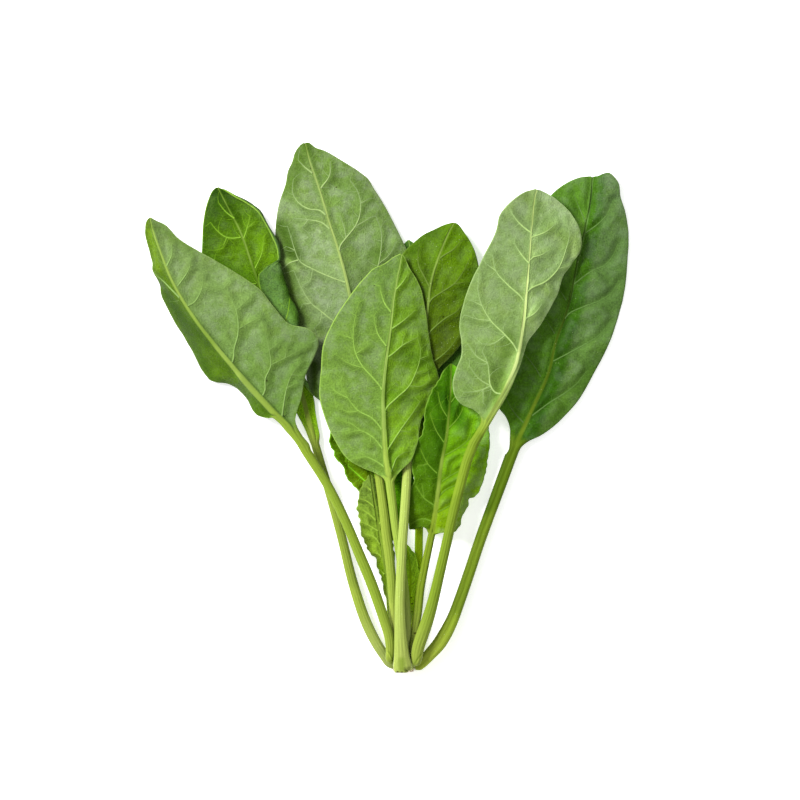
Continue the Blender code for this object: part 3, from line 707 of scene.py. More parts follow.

# The green is uneven, yellower in places, and darkened by a painted shade beside the rib where the blade is
# creased
patches = place.noise(0.06, 2.5, 0.55)
flecks = place.noise(0.3, 3.5, 0.55)
grain = place.noise(1.3, 3.0, 0.65)
unevenness = patches * 0.6 + flecks * 0.6 + grain * 1.7 - 1.45
flesh = flesh.vector("SCALE", unevenness * given["Mottle"] + 1.0)
sunny = place.noise(0.11, 2.0, 0.55).ranged(0.48, 0.66)
flesh = (sunny * 0.25).between(flesh, flesh.tinted((1.08, 1.04, 0.55, 1)))
rightwards = across * -1.0
painted_rib_shade = rightwards.ranged(0.3, 1.2) * rightwards.ranged(5.5, 9.5, 1.0, 0.0) * given["Crease"]
flesh = painted_rib_shade.between(flesh, flesh.tinted((0.4, 0.66, 0.05, 1)))

# Wax greys it in fine flecks, and a painted sheen deepens the green and lays pale patches between the veins
waxy = place.noise(1.1, 4.0, 0.8).ranged(0.45, 0.62) * given["Bloom"]
flesh = waxy.between(flesh, flesh.vector("ADD", (0.03, 0.032, 0.03)))
painted_sheen_patches = from_vein.ranged(0.6, 4.5) * place.noise(0.13, 4.0, 0.65).ranged(0.4, 0.6) * given["Sheen"]
painted_sheen_patches = painted_sheen_patches * across.ranged(-1.0, 1.0, 1.0, given["Sheen Left"])
flesh = given["Sheen"].between(flesh, flesh.tinted((0.82, 0.91, 0.42, 1)))
flesh = painted_sheen_patches.between(flesh, flesh.vector("ADD", (0.065, 0.056, 0.07)))

# A net of small veins, a halo along the drawn ones, and the margin are paler
woven = place.vector("ADD", place.noise(0.35)["Color"].vector("SCALE", 2.2))
wide_net, fine_net = (
    add(tissue, "ShaderNodeTexVoronoi", {"Vector": woven, "Scale": scale}, feature="DISTANCE_TO_EDGE")
    for scale in (0.2, 0.75)
)
net = wide_net.ranged(0.0, 0.06, 1.0, 0.0).work("MAXIMUM", fine_net.ranged(0.0, 0.1, 0.5, 0.0)) * off_rib
halo = from_vein.ranged(0.2, 0.9, 1.0, 0.0)
edge = margin.ranged(0.25, 0.75, 1.0, 0.0)
for share in (net * given["Net"], halo * given["Halo"], edge * given["Edge"]):
    flesh = share.between(flesh, given["Pale"])

# Pale specks
dots = add(tissue, "ShaderNodeTexVoronoi", {"Vector": place, "Scale": 0.7})
chosen = add(tissue, "ShaderNodeSeparateColor", {0: dots["Color"]}).ranged(0.35, 1.0)
dots = dots["Distance"].ranged(0.06, 0.17, 1.0, 0.0) * chosen * given["Specks"]
flesh = dots.between(flesh, tone(176, 192, 140))

# The stalk and the rib are streaked and ridged lengthwise, with a pale sheath and a cream cut end
streaks = add(tissue, "ShaderNodeCombineXYZ", {0: turn * 7.0, 1: along * 0.12}).noise(1.0, 3.0, 0.55)
# Painted shade darkens the channels between the ridges, and painted light makes one side of the stalk lighter
# than the other
streaks_and_painted_shading = (turn * (6 * math.pi)).work("COSINE") * 0.035 + 0.98
streaks_and_painted_shading = streaks_and_painted_shading + (streaks * 0.4 - 0.2) + (grain * 0.3 - 0.15) + turn * given["Stalk Light"]
stalk = along.ranged(2.0, 42.0).between(given["Stalk Base"], given["Stalk"])
stalk = tipwards.ranged(0.02, given["Rib From"]).between(stalk, given["Rib"])
stalk = stalk.vector("SCALE", streaks_and_painted_shading)
sheath = turn.work("ABSOLUTE").ranged(0.75, 0.95) * along.ranged(3.0, 14.0, 0.6, 0.0)
stalk = sheath.between(stalk, tone(214, 220, 176))
cut_rim = along.ranged(0.25, 1.1, 0.85, 0.0)
stalk = cut_rim.between(stalk, tone(216, 218, 178))
stalk = dots.between(stalk, tone(216, 226, 180))

# The net stands out below and is sunk above
raised_net = net * (upper * -1.6 + 1.0) * 0.3
height = (raised_net + grain * 1.1 + flecks * 0.7) * off_rib + streaks * rib * 0.8
rough = (grain - 0.5) * 0.3 + 0.47
wire(result, {"Colour": rib.between(flesh, stalk), "Roughness": rough, "Height": height})

# A soft painted shade or painted light, or a small mark, along a line on a leaf, seen from above
shade, given, result = node_group(
    "shade along a line", "ShaderNodeTree", {"Colour": "Color"},
    {"Colour": "Color", "Start": "Vector", "End": "Vector", "Reach": 5.0, "Tint": "Color"},
)
seen_flat = object_place(shade).vector("MULTIPLY", (1000, 1000, 0))
from_start = seen_flat.vector("SUBTRACT", given["Start"])
whole_way = given["End"].vector("SUBTRACT", given["Start"])
squared = whole_way.vector("DOT_PRODUCT", whole_way)
share = from_start.vector("DOT_PRODUCT", whole_way).work("DIVIDE", squared, use_clamp=True)
away = from_start.vector("DISTANCE", whole_way.vector("SCALE", share))
shaded = given["Colour"].tinted(given["Tint"])
wire(result, {"Colour": away.ranged(0.0, given["Reach"], 1.0, 0.0).between(given["Colour"], shaded)})

# What powers of a shade's brightness tint its red, green and blue, and the tint of a brown mark
darker = (1.25, 0.92, 2.3)
lighter = (1.05, 0.95, 1.1)
brown_mark = (0.22, 0.14, 0.1, 1)


def leaf_materials(name, vein, around, specular=0.03, shades=(), marks=(), **values):
    """The flesh and the veins of a leaf: shades are (x, y, x, y, reach, brightness), marks (x, y, radius)."""
    flesh, tree, shader = new_material(name + " flesh", 0.5, specular)
    sockets = {}
    for key, value in values.items():
        if isinstance(value, tuple):
            value = (*value, 1) if key.endswith("tint") else tone(*value)
        sockets[key.replace("_", " ").title()] = value
    made = add(tree, "ShaderNodeGroup", sockets, node_tree=tissue)
    strokes = []
    for x, y, end_x, end_y, reach, light in shades:
        powers = darker if light < 1 else lighter
        strokes.append(((x, y), (end_x, end_y), reach, (*(light**power for power in powers), 1)))
    strokes += [((x, y), (x + 0.3, y + 0.1), radius, brown_mark) for x, y, radius in marks]
    colour = made["Colour"]
    for start, end, reach, tint in strokes:
        sockets = {"Colour": colour, "Start": (*start, 0), "End": (*end, 0), "Reach": reach, "Tint": tint}
        colour = add(tree, "ShaderNodeGroup", sockets, node_tree=shade)
    raised = add(tree, "ShaderNodeBump", {"Strength": 0.8, "Distance": 0.0005, "Height": made["Height"]})
    wire(shader, {"Base Color": colour, "Roughness": made["Roughness"], "Normal": raised})

    cords, tree, shader = new_material(name + " veins", 0.5, specular)
    fade = reading(tree, "outwards").ranged(0.4, 1.0, 0.0, 0.7) + (reading(tree, "thick") * -0.75 + 0.75)
    uneven = object_place(tree).noise(700.0, 3.0, 0.55) * 0.7 + 0.65
    pale = add(tree, "ShaderNodeVectorMath", {0: tone(*vein)[:3], 3: uneven}, operation="SCALE")
    wire(shader, {"Base Color": fade.between(pale, tone(*around))})
    return flesh, cords


def living(name, materials, veins, bulge, ripple, vein_radius, seed, branches=(), **tables):
    """A leaf piece: its skin, bulged between its veins, with the veins laid along it."""
    piece = leaf_skin(name, **tables)
    lines = vein_lines([tables["stalk"][-1]] + tables["midrib"], veins, branches)
    settle(piece, relief, {
        "Vein Lines": lines, "Bulge Height": bulge, "Ripple Height": ripple, "Vein Radius": vein_radius,
        "Seed": seed, "Flesh": materials[0], "Vein": materials[1],
    })
    bpy.data.objects.remove(lines)
    return piece


right_flesh = leaf_materials(
    "right leaf", vein=(90, 122, 61), around=(73, 108, 39), under=(120, 150, 80), upper=(83, 120, 41),
    rib=(43, 69, 14), stalk=(98, 120, 27), stalk_base=(139, 156, 52), pale=(102, 132, 66),
    left_tint=(0.77, 0.9, 0.43), right_tint=(0.78, 0.71, 1.2), base_tint=(0.94, 1.01, 0.62),
    tip_tint=(1.06, 0.99, 1.61), edge=0.35, mottle=0.88, specks=0.36, seed=3.0, crease=1.0, rib_from=0.75,
    sheen=0.35, stalk_light=-0.08,
    shades=[
        (88, 217, 90, 196, 9, 1.9), (100, 241, 97, 224, 8, 1.3), (102, 152, 70, 114, 8, 0.72),
        (90, 227, 84, 222, 6, 0.8), (94, 163, 82, 131, 5, 1.35), (68, 122, 84, 178, 4.5, 0.8),
        (81, 184, 86, 196, 4, 0.75), (52, 106, 41, 76, 6, 0.5), (60, 108, 48, 78, 7, 0.7),
        (42, 76, 36, 62, 5, 0.72), (10, -2, 26, 20, 6, 1.3),
    ],
)
right_leaf = living(
    "leaf_back_right_piece", right_flesh,
    veins=[
        [(76.4, 163.3), (74.5, 166.5), (72.2, 170.1)], [(82.2, 180.1), (80.8, 182.5), (79, 185)],
        [(69.5, 141.7), (65.5, 148), (61.1, 153.3), (57, 160)], [(88, 200), (84, 207), (80.5, 216)],
        [(61.5, 118), (56, 124), (51.5, 132)], [(92, 219), (89, 226), (86, 233)],
        [(65.3, 122.2), (73.7, 128.5), (82.2, 133.8), (87.4, 138), (93, 145)],
        [(75, 149), (85.5, 154.5), (94.5, 159.5), (100, 163.5), (105, 170)],
        [(80.5, 169), (83.4, 173), (90.5, 176.5), (99.5, 180), (105, 183.7), (109, 190)],
        [(85.5, 187.5), (94.8, 194.4), (102.2, 198), (106.4, 203.3), (108.5, 208.5)],
        [(91, 213), (98, 218), (103, 223), (106, 230)],
    ],
    branches=[
        [(99.5, 180), (102.5, 177.5), (105.3, 174.5)], [(87.5, 155.3), (91, 151.5), (93.7, 147.5)],
        [(78, 131), (82.5, 128)], [(98, 196.5), (104, 190)],
    ],
    bulge=0.0012, ripple=0.0006, vein_radius=0.00034, seed=0.11, foot=[(5.8, -4.1, 5.1), (7.2, -3.7, 5.2)],
    flare=(0.0, 4.0), rounding=6.0, crest=0.16, underside_up=False,
    stalk=[
        (8.8, -3, 5.2), (11.6, 0.1, 5.7), (14.6, 3.4, 5.8), (18, 7.2, 5.7), (21.3, 12.3, 5.5),
        (25.2, 20, 5.2), (29, 30, 4.8), (32.5, 40, 4.4), (39.2, 60, 4), (46.5, 80, 3.8), (50.2, 90, 3.8),
        (54.4, 101.5, 3.9),
    ],
    midrib=[
        (60, 114, 4), (65, 125, 4.2), (73.7, 144.5, 4.4), (77, 159, 4.4), (82, 173, 4.4), (88.3, 201, 4.4),
        (93.5, 225.5, 4), (95.5, 242.3, 3.2),
    ],
    left=[
        (52.8, 104), (54, 111.5), (53.8, 116.5), (51.8, 121.5), (49, 125), (45, 131), (43, 142), (44, 158),
        (48, 176), (54, 193), (61, 208), (69, 223), (75, 233), (82, 238.5), (89, 241.5),
    ],
    right=[
        (60, 106.5), (63, 109), (69, 112), (75, 116), (82, 122.5), (88, 129.5), (95.3, 142), (103, 156.7),
        (107, 167.2), (112, 188.3), (113, 201), (113.5, 213.5), (112, 223.5), (109.5, 231.8), (108.3, 239),
        (103.4, 244), (98, 242.2),
    ],
    left_z=(3.9, 5, 6.4, 7, 6.4, 5, 3.2), right_z=(3.9, 2.6, 1.4, 0.9, 0.9, 1.6, 3.2),
    stalk_widths=(5.4, 6.9, 6.0, 5.7, 5.6, 5.7, 5.9, 6.0),
    waves={"left": (0.4, 3, 0), "right": (0.4, 4, 0.5)},
)
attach(right_leaf, "root")
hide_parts("leaf_back_right")


# Middle leaf at the very back
# An ordinary leaf under all the others, dark upper side up. Its tip shows between the two leaves
# above it, and its stalk between the stalks at the right.

under_flesh = leaf_materials(
    "under leaf", vein=(84, 119, 56), around=(62, 98, 30), under=(110, 145, 75), upper=(62, 98, 30),
    rib=(110, 140, 60), stalk=(142, 178, 16), stalk_base=(203, 218, 38), pale=(97, 129, 63), seed=9.0,
)
under_leaf = living(
    "leaf_under_middle_piece", under_flesh,
    veins=[
        [(8.5, 134), (0, 142), (-8, 152), (-12, 164)], [(7.6, 158), (1, 168), (-5, 178), (-8, 190)],
        [(6.4, 182), (2, 190), (-1, 199)], [(8.4, 146), (17, 154), (24, 162), (27, 172)],
        [(7, 172), (14, 180), (19, 188)], [(5.6, 192), (9, 199)],
    ],
    bulge=0.0004, ripple=0.0003, vein_radius=0.0003, seed=0.23, rows=(40, 90), columns=(4, 18),
    underside_up=False,
    stalk=[
        (4.6, 3, 5), (5.8, 14, 3.8), (7.2, 28, 3), (8.2, 45, 2.8), (8.5, 62, 2.8), (8.8, 80, 2.6),
        (9, 100, 2.4), (9, 112, 2.4),
    ],
    midrib=[(8.8, 126, 2.4), (8.2, 145, 2.6), (7.2, 168, 3), (5.8, 190, 3.2), (3.2, 210.6, 3.2)],
    left=[(0, 122), (-8, 133), (-14, 148), (-15, 165), (-12, 182), (-6, 197), (-1.5, 205.5)],
    right=[(16, 121), (25, 132), (30, 146), (31, 162), (28, 178), (22, 192), (13, 203), (7, 208)],
    left_z=(2.4, 1.6, 1.2, 1.4, 2, 2.8, 3.2), right_z=(2.4, 2.8, 3.6, 4.2, 4.4, 4, 3.2),
    stalk_widths=(2.8, 4.0, 4.0, 3.6),
)
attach(under_leaf, "root")
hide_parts("leaf_under_middle")


# Lower left leaf behind the front one
# A young dark leaf, upper side up and crinkled, on a thin stalk from the back of the crown. Most of it
# lies hidden under the leaves before it.

low_left_flesh = leaf_materials(
    "low left leaf", vein=(138, 208, 43), around=(106, 168, 5), under=(112, 148, 70), upper=(94, 151, 3),
    rib=(83, 112, 18), stalk=(120, 152, 50), stalk_base=(156, 178, 84), pale=(146, 215, 54),
    left_tint=(0.58, 0.48, 0.05), right_tint=(1.74, 2.07, 2.5), base_tint=(1.62, 1.05, 2.25),
    tip_tint=(0.62, 0.95, 0.44), net=0.12, mottle=1.0, seed=14.0,
    shades=[
        (-2, 74, -1, 96, 8, 0.35), (6, 84, 6, 96, 5, 0.3), (-17, 94, -15, 89, 6, 1.4),
        (-33, 106, -26, 92, 6, 0.8),
    ],
)
low_left_leaf = living(
    "leaf_low_left_piece", low_left_flesh,
    veins=[
        [(-13.5, 86), (-18, 89), (-23, 93.5), (-27, 97)], [(-15.5, 96), (-22, 103), (-29, 108), (-33, 110)],
        [(-17.5, 108), (-25, 115), (-32, 120)], [(-19.5, 121), (-26, 128), (-31, 135)],
        [(-13.6, 84), (-8, 88), (-2, 95)], [(-16, 98), (-9, 104), (-3, 112)],
        [(-18.5, 114), (-12, 121), (-8, 129)],
    ],
    branches=[[(-18, 89), (-19.5, 85)], [(-22, 103), (-28, 101)], [(-25, 115), (-33, 114)]], bulge=0.0016,
    ripple=0.0006, vein_radius=0.00036, seed=0.37, rows=(40, 100), columns=(4, 22), ragged=0.3,
    underside_up=False,
    stalk=[(1, 3, 3.6), (-1.5, 15, 3.2), (-4.6, 34, 2.8), (-7.8, 54, 2.6), (-9.5, 64, 2.6)],
    midrib=[(-11, 73, 2.6), (-14, 88, 2.8), (-17, 105, 3.2), (-20, 125, 3.6), (-24, 148, 3.6)],
    left=[
        (-12.4, 71), (-15, 77.5), (-21.6, 83.8), (-25.3, 87.6), (-28.6, 92.6), (-29.5, 95.8), (-33.8, 101),
        (-34.5, 104), (-36.4, 107.4), (-36.3, 115.5), (-37, 124), (-35, 134), (-30.5, 143),
    ],
    right=[
        (-6, 66.5), (-2, 65.5), (1.5, 68), (4, 74), (5.7, 82), (6.1, 90), (5.6, 98), (4, 107), (-0.5, 120),
        (-8, 134), (-16, 144),
    ],
    left_z=(2.6, 3.2, 4, 4.4, 4.2, 3.8, 3.6), right_z=(2.6, 2.4, 2.4, 2.6, 3, 3.4, 3.6),
    stalk_widths=(2.8, 3.4, 3.2), waves={"left": (0.8, 5, 0.2), "right": (0.3, 3, 0)},
)
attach(low_left_leaf, "root")
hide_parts("leaf_low_left")


# Back left leaf
# Underside up, its stalk joined to the crown at the left. The right margin has turned over on itself,
# and shows the darker upper side there.

back_left_flesh = leaf_materials(
    "back left leaf", vein=(111, 149, 42), around=(93, 132, 3), under=(81, 114, 3), upper=(68, 96, 45),
    rib=(98, 123, 47), stalk=(117, 135, 48), stalk_base=(133, 146, 75), pale=(121, 157, 53),
    base_tint=(2.5, 2.5, 2.5), tip_tint=(0.14, 0.24, 0.05), net=0.12, edge=0.85, mottle=1.04, seed=21.0,
    sheen=0.15,
    shades=[
        (-99, 208, -92, 234, 6, 0.72), (-76, 218, -68, 203, 7, 1.25), (-74, 196, -71, 187, 5, 0.75),
        (-100, 204, -74, 190, 5, 0.72), (-87, 226, -83, 221, 5, 0.75), (-60, 192, -53, 171, 4, 0.55),
        (-84, 228, -72, 226, 4, 1.25), (-39.5, 108, -34, 88, 3, 0.5), (-23, 34, -11, 8, 5, 1.2),
    ],
)
back_left_leaf = living(
    "leaf_back_left_piece", back_left_flesh,
    veins=[
        [(-80.7, 211.5), (-84, 211), (-87.7, 211.4), (-92.3, 214.5), (-96, 219)],
        [(-72, 188), (-80, 189), (-88, 193), (-94, 200)], [(-66, 172), (-74, 174), (-82, 180)],
        [(-59, 156), (-67, 157), (-76, 163)], [(-84, 221), (-88, 224), (-92, 229)],
        [(-79.5, 210), (-77.5, 216), (-76, 222)], [(-74, 195), (-70, 204), (-69, 212)],
        [(-56, 146), (-52.5, 155), (-52, 165)], [(-62, 163), (-57.5, 172), (-56, 182)],
    ],
    branches=[[(-87.7, 211.4), (-90, 206)], [(-80, 189), (-84, 184)], [(-77.5, 216), (-74, 219)]],
    bulge=0.001, ripple=0.0005, vein_radius=0.0004, seed=0.41, columns=(6, 46),
    foot=[(-3.6, -4.2, 5.0), (-5.0, -2.9, 5.1)], flare=(0.0, 4.0), rounding=5.5,
    stalk=[
        (-7, -0.8, 5.2), (-9.4, 2.9, 5.7), (-11.8, 6.6, 6), (-14.4, 11.2, 6), (-18.5, 20, 5.6),
        (-22, 30, 5.2), (-25, 40, 4.8), (-29.9, 60, 4.2), (-35.3, 80, 3.8), (-41.2, 100, 3.6),
        (-43.5, 108, 3.6),
    ],
    midrib=[
        (-46.8, 120, 3.6), (-49, 129, 3.6), (-52.5, 140, 3.6), (-60.5, 160, 3.8), (-70.7, 185, 4.2),
        (-76, 200.5, 4.6), (-81.2, 215, 4.6), (-87, 226, 4), (-92.6, 237, 3),
    ],
    left=[
        (-49, 116), (-53, 123.5), (-58, 133), (-66, 142), (-78, 154), (-88, 168), (-96, 182), (-100, 194),
        (-100.3, 210), (-99.7, 220), (-98.6, 225.6), (-97, 231), (-95, 235),
    ],
    right=[
        (-41.2, 112), (-42.1, 117), (-43.3, 124), (-44.2, 131), (-47.2, 137), (-50, 143), (-51.5, 150),
        (-52, 158), (-52.2, 166), (-54, 177), (-58.4, 188), (-61, 196), (-61.2, 202), (-62, 207),
        (-64, 211.5), (-68, 219), (-71.3, 224.3), (-77.6, 229), (-83, 231.6), (-89.6, 235.5),
    ],
    left_z=(3.6, 3.5, 2.5, 1.4, 1.1, 1.8, 3), right_z=(3.6, 3.6, 4.7, 5.1, 5.2, 4.9, 3),
    stalk_widths=(5.0, 5.4, 5.2, 4.9, 4.7, 4.6, 4.4, 4.2), waves={"left": (0.5, 3, 0.4)},
    flaps={
        "right": [
            (0, 0), (0.16, 0), (0.28, 4), (0.41, 11), (0.52, 15), (0.6, 14.5), (0.65, 13.5), (0.661, 1.3),
            (0.88, 1), (1, 0),
        ],
    },
)
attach(back_left_leaf, "root")
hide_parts("leaf_back_left")


# Tall leaf at the back
# The longest blade, underside up and nearly flat, with a bright midrib. Its lower part and its stalk
# are hidden by the leaves before it.

tall_flesh = leaf_materials(
    "tall leaf", vein=(133, 155, 95), around=(103, 123, 84), under=(101, 123, 77), upper=(74, 108, 40),
    rib=(127, 146, 78), stalk=(127, 146, 53), stalk_base=(150, 160, 78), pale=(144, 165, 109),
    left_tint=(1.08, 1.04, 1.21), right_tint=(0.92, 0.96, 0.82), base_tint=(1.27, 1.14, 1.8),
    tip_tint=(0.79, 0.87, 0.55), net=0.12, edge=0.4, mottle=0.8, seed=33.0, specular=0.04, sheen=0.7,
    shades=[
        (-61, 217, -55, 203, 9, 0.42), (-57, 194, -52, 168, 7, 0.55), (-57, 200, -53, 196, 3, 1.7),
        (-51.5, 180, -46.5, 166, 4, 0.8), (-50, 257, -58, 238, 9, 0.62), (-21, 191, -11, 204, 7, 0.68),
        (-44, 148, -43, 126, 5, 0.3), (-34, 232, -30, 218, 8, 1.2), (-20, 212, -13, 216, 7, 1.2),
        (-40, 214, -31, 190, 9, 1.2), (-48, 172, -40, 164, 5, 0.7), (-7.5, 27, -5, 12, 4, 1.5),
    ],
    marks=[(-33, 236.5, 0.5), (-46, 246, 0.4)],
)
tall_leaf = living(
    "leaf_back_tall_piece", tall_flesh,
    veins=[
        [
            (-27.5, 188.5), (-32.7, 190.3), (-37, 192), (-44.6, 195.5), (-51.3, 199.6), (-53.6, 205),
            (-55.8, 212), (-57.3, 217),
        ],
        [(-23.5, 163), (-29, 166.5), (-35, 170), (-40, 174), (-45.4, 178.4), (-49.8, 185), (-54.3, 195)],
        [(-35.5, 215), (-40, 218.7), (-47, 220.2), (-54, 221)],
        [(-37.5, 222), (-41, 224.8), (-46, 225.4), (-52, 229), (-54.7, 233.6), (-54.5, 240)],
        [
            (-29.6, 198), (-31, 206.7), (-28, 211), (-23.7, 216.4), (-21.5, 221), (-20.7, 228.4),
            (-22, 234), (-26, 240),
        ],
        [(-24.5, 175), (-16, 185), (-11.7, 198), (-10.3, 207), (-10.3, 214), (-13, 222)],
        [(-21, 149), (-10, 160), (-3, 175), (-1, 190)], [(-20, 140), (-30, 146), (-38, 154)],
        [(-40.5, 236), (-36, 243), (-36, 249)], [(-44, 243), (-48, 246), (-52, 250)],
        [(-52, 200), (-56.6, 198.5), (-60, 195.5)],
    ],
    branches=[
        [(-23.7, 216.4), (-18, 220), (-12.5, 223)], [(-44.6, 195.5), (-46, 190), (-50, 187)],
        [(-40, 174), (-41, 169), (-44, 166)], [(-53.6, 205), (-58, 207)], [(-45.4, 178.4), (-50, 178)],
        [(-28, 211), (-29, 217), (-31, 222)], [(-47, 220.2), (-50, 216)],
        [(-11.7, 198), (-6, 203), (-3, 209)], [(-20.7, 228.4), (-16, 231)],
    ],
    bulge=0.001, ripple=0.0005, vein_radius=0.00048, seed=0.53, foot=[(-1.4, -3.0, 8.6), (-2.1, 0, 9)],
    stalk=[
        (-2.8, 3, 9.2), (-3.9, 12, 9.6), (-4.4, 25, 9.6), (-5.2, 40, 9.6), (-6.4, 52, 9.6), (-8, 64, 9.6),
        (-9.6, 78, 9.2), (-11.2, 90, 8.2), (-13, 102, 7.2), (-16, 119, 6.9),
    ],
    midrib=[
        (-19.5, 140, 7), (-23, 160, 7.4), (-26.3, 182.8, 8.2), (-31.5, 203.8, 8.6), (-36.4, 218.7, 8.2),
        (-40.5, 233, 7.2), (-46, 249, 5.6), (-48.7, 259.2, 4.6),
    ],
    left=[
        (-24, 124.5), (-33, 126), (-40, 129), (-45, 133), (-47.5, 139), (-48.5, 147), (-50.5, 156),
        (-54.5, 168), (-59, 181), (-62.8, 194), (-64.8, 205), (-63.9, 211.6), (-63.3, 220), (-61.4, 230),
        (-58.4, 238.8), (-57.3, 244.8), (-55, 250), (-54, 253.8), (-51.3, 257.5),
    ],
    right=[
        (-9, 124), (-1, 134), (5, 150), (8, 168), (8, 184), (6, 197), (2, 206.4), (-2.8, 216.4),
        (-10.3, 230.3), (-14, 236), (-17, 241), (-20.7, 244), (-30, 250), (-39.4, 255.3), (-43, 256.4),
        (-46.8, 259),
    ],
    left_z=(6.9, 5.9, 3.3, 1.7, 1.4, 1.9, 3.2, 4.6), right_z=(6.9, 6.2, 5.6, 5.2, 5, 4.8, 4.6, 4.6),
    stalk_widths=(2.8, 4.4, 4.8, 4.4, 4.2), waves={"left": (0.5, 5, 0), "right": (0.5, 4, 0.25)},
)
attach(tall_leaf, "root")
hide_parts("leaf_back_tall")


# Middle leaf behind
# Underside up, behind the two front leaves. Its pale thick stalk is the foremost at the crown, and
# widens there like a spoon's handle.

back_middle_flesh = leaf_materials(
    "back middle leaf", vein=(92, 116, 45), around=(63, 87, 8), under=(59, 74, 4), upper=(64, 98, 24),
    rib=(107, 130, 54), stalk=(148, 166, 78), stalk_base=(144, 159, 75), pale=(104, 126, 55),
    left_tint=(0.91, 0.91, 2.5), right_tint=(1.1, 1.09, 0.38), base_tint=(0.71, 0.53, 2.5),
    tip_tint=(1.59, 2.25, 0.02), edge=0.35, mottle=0.88, specks=0.6, seed=44.0, sheen=0.15,
    shades=[
        (38, 193, 30, 183, 7, 0.78), (12, 207, 22, 195, 8, 1.15), (33, 206, 35, 198, 4, 1.3),
        (2, 200, 8, 186, 6, 1.2), (2.5, 44, 3.4, 22, 3, 1.25), (-0.2, 0, 0, -4, 3, 0.7),
        (6, 205, 16, 216, 5, 0.75),
    ],
    marks=[
        (20.5, 171.5, 0.6), (-2.4, -5.8, 0.8), (-0.2, -5.9, 0.6), (2.6, -5.6, 0.5), (4.6, -5.2, 0.5),
        (6.0, -4.7, 0.6),
    ],
)
back_middle_leaf = living(
    "leaf_back_middle_piece", back_middle_flesh,
    veins=[
        [(12.5, 177), (14.5, 180), (20, 184), (26, 188), (30, 193), (34, 201)],
        [(18, 200), (20.5, 202), (26, 205.5), (30, 210)],
        [(11.5, 161), (13.5, 163.5), (17, 167), (22, 171), (27, 174), (32, 180)],
        [(9, 146), (17, 150), (23, 155), (29, 163)],
        [(14, 186), (11, 192), (8.5, 197), (8, 203), (9, 207.5)],
        [(11.5, 166), (6, 172), (1, 180), (-1, 190)], [(9.5, 150), (2, 156), (-5, 165), (-8, 175)],
        [(7, 134), (-1, 140), (-7, 150)], [(7, 133), (13, 137), (18, 145)],
    ],
    branches=[
        [(20, 184), (24, 182)], [(26, 188), (33, 189)], [(17, 167), (19, 172)], [(20, 184), (21, 190)],
    ],
    bulge=0.001, ripple=0.0005, vein_radius=0.00045, seed=0.67, foot=[(0.9, -5.9, 11.6), (0.7, -5.4, 12.2)],
    flare=(5.0, 4.2), rounding=4.5,
    stalk=[
        (0.4, -4.7, 12.8), (-0.4, 6, 13.7), (-0.9, 18, 14.1), (-1, 30, 14.2), (-0.7, 40, 14.2),
        (0.3, 60, 14), (1, 70, 13.2), (1.7, 80, 11.6), (2.4, 92, 8.8), (2.8, 101, 6.9), (3.6, 110, 6.2),
        (5, 120, 6),
    ],
    midrib=[
        (7.4, 135, 6.8), (10, 152, 8.2), (12.3, 171.3, 9.6), (14.5, 188.5, 10), (19.5, 204.5, 9),
        (24.5, 216, 7.6), (26.3, 219, 7.2),
    ],
    left=[
        (0, 124), (-6, 134), (-11, 148), (-12, 164), (-9, 182), (-4.5, 196), (0, 203), (6, 209),
        (10.5, 212.7), (15.8, 215.3), (21.5, 218),
    ],
    right=[
        (11, 132), (17.5, 144.5), (24.5, 151.5), (29, 157), (34.5, 168), (37.5, 180), (39, 190),
        (38.3, 198), (35, 208), (31.5, 213.5), (27.8, 218.2),
    ],
    left_z=(6, 8.5, 9.5, 9.6, 9.2, 8.4, 7.2), right_z=(6, 6.4, 7, 8, 8.4, 8, 7.2),
    stalk_widths=(7.8, 5.2, 4.8, 4.6, 4.2), waves={"left": (0.4, 3, 0), "right": (0.5, 3, 0.3)},
)
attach(back_middle_leaf, "root")
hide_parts("leaf_back_middle")


# Small crinkled leaf
# A young leaf low at the left of the stalks, underside up, its soft blade gathered into wrinkles
# between close veins.

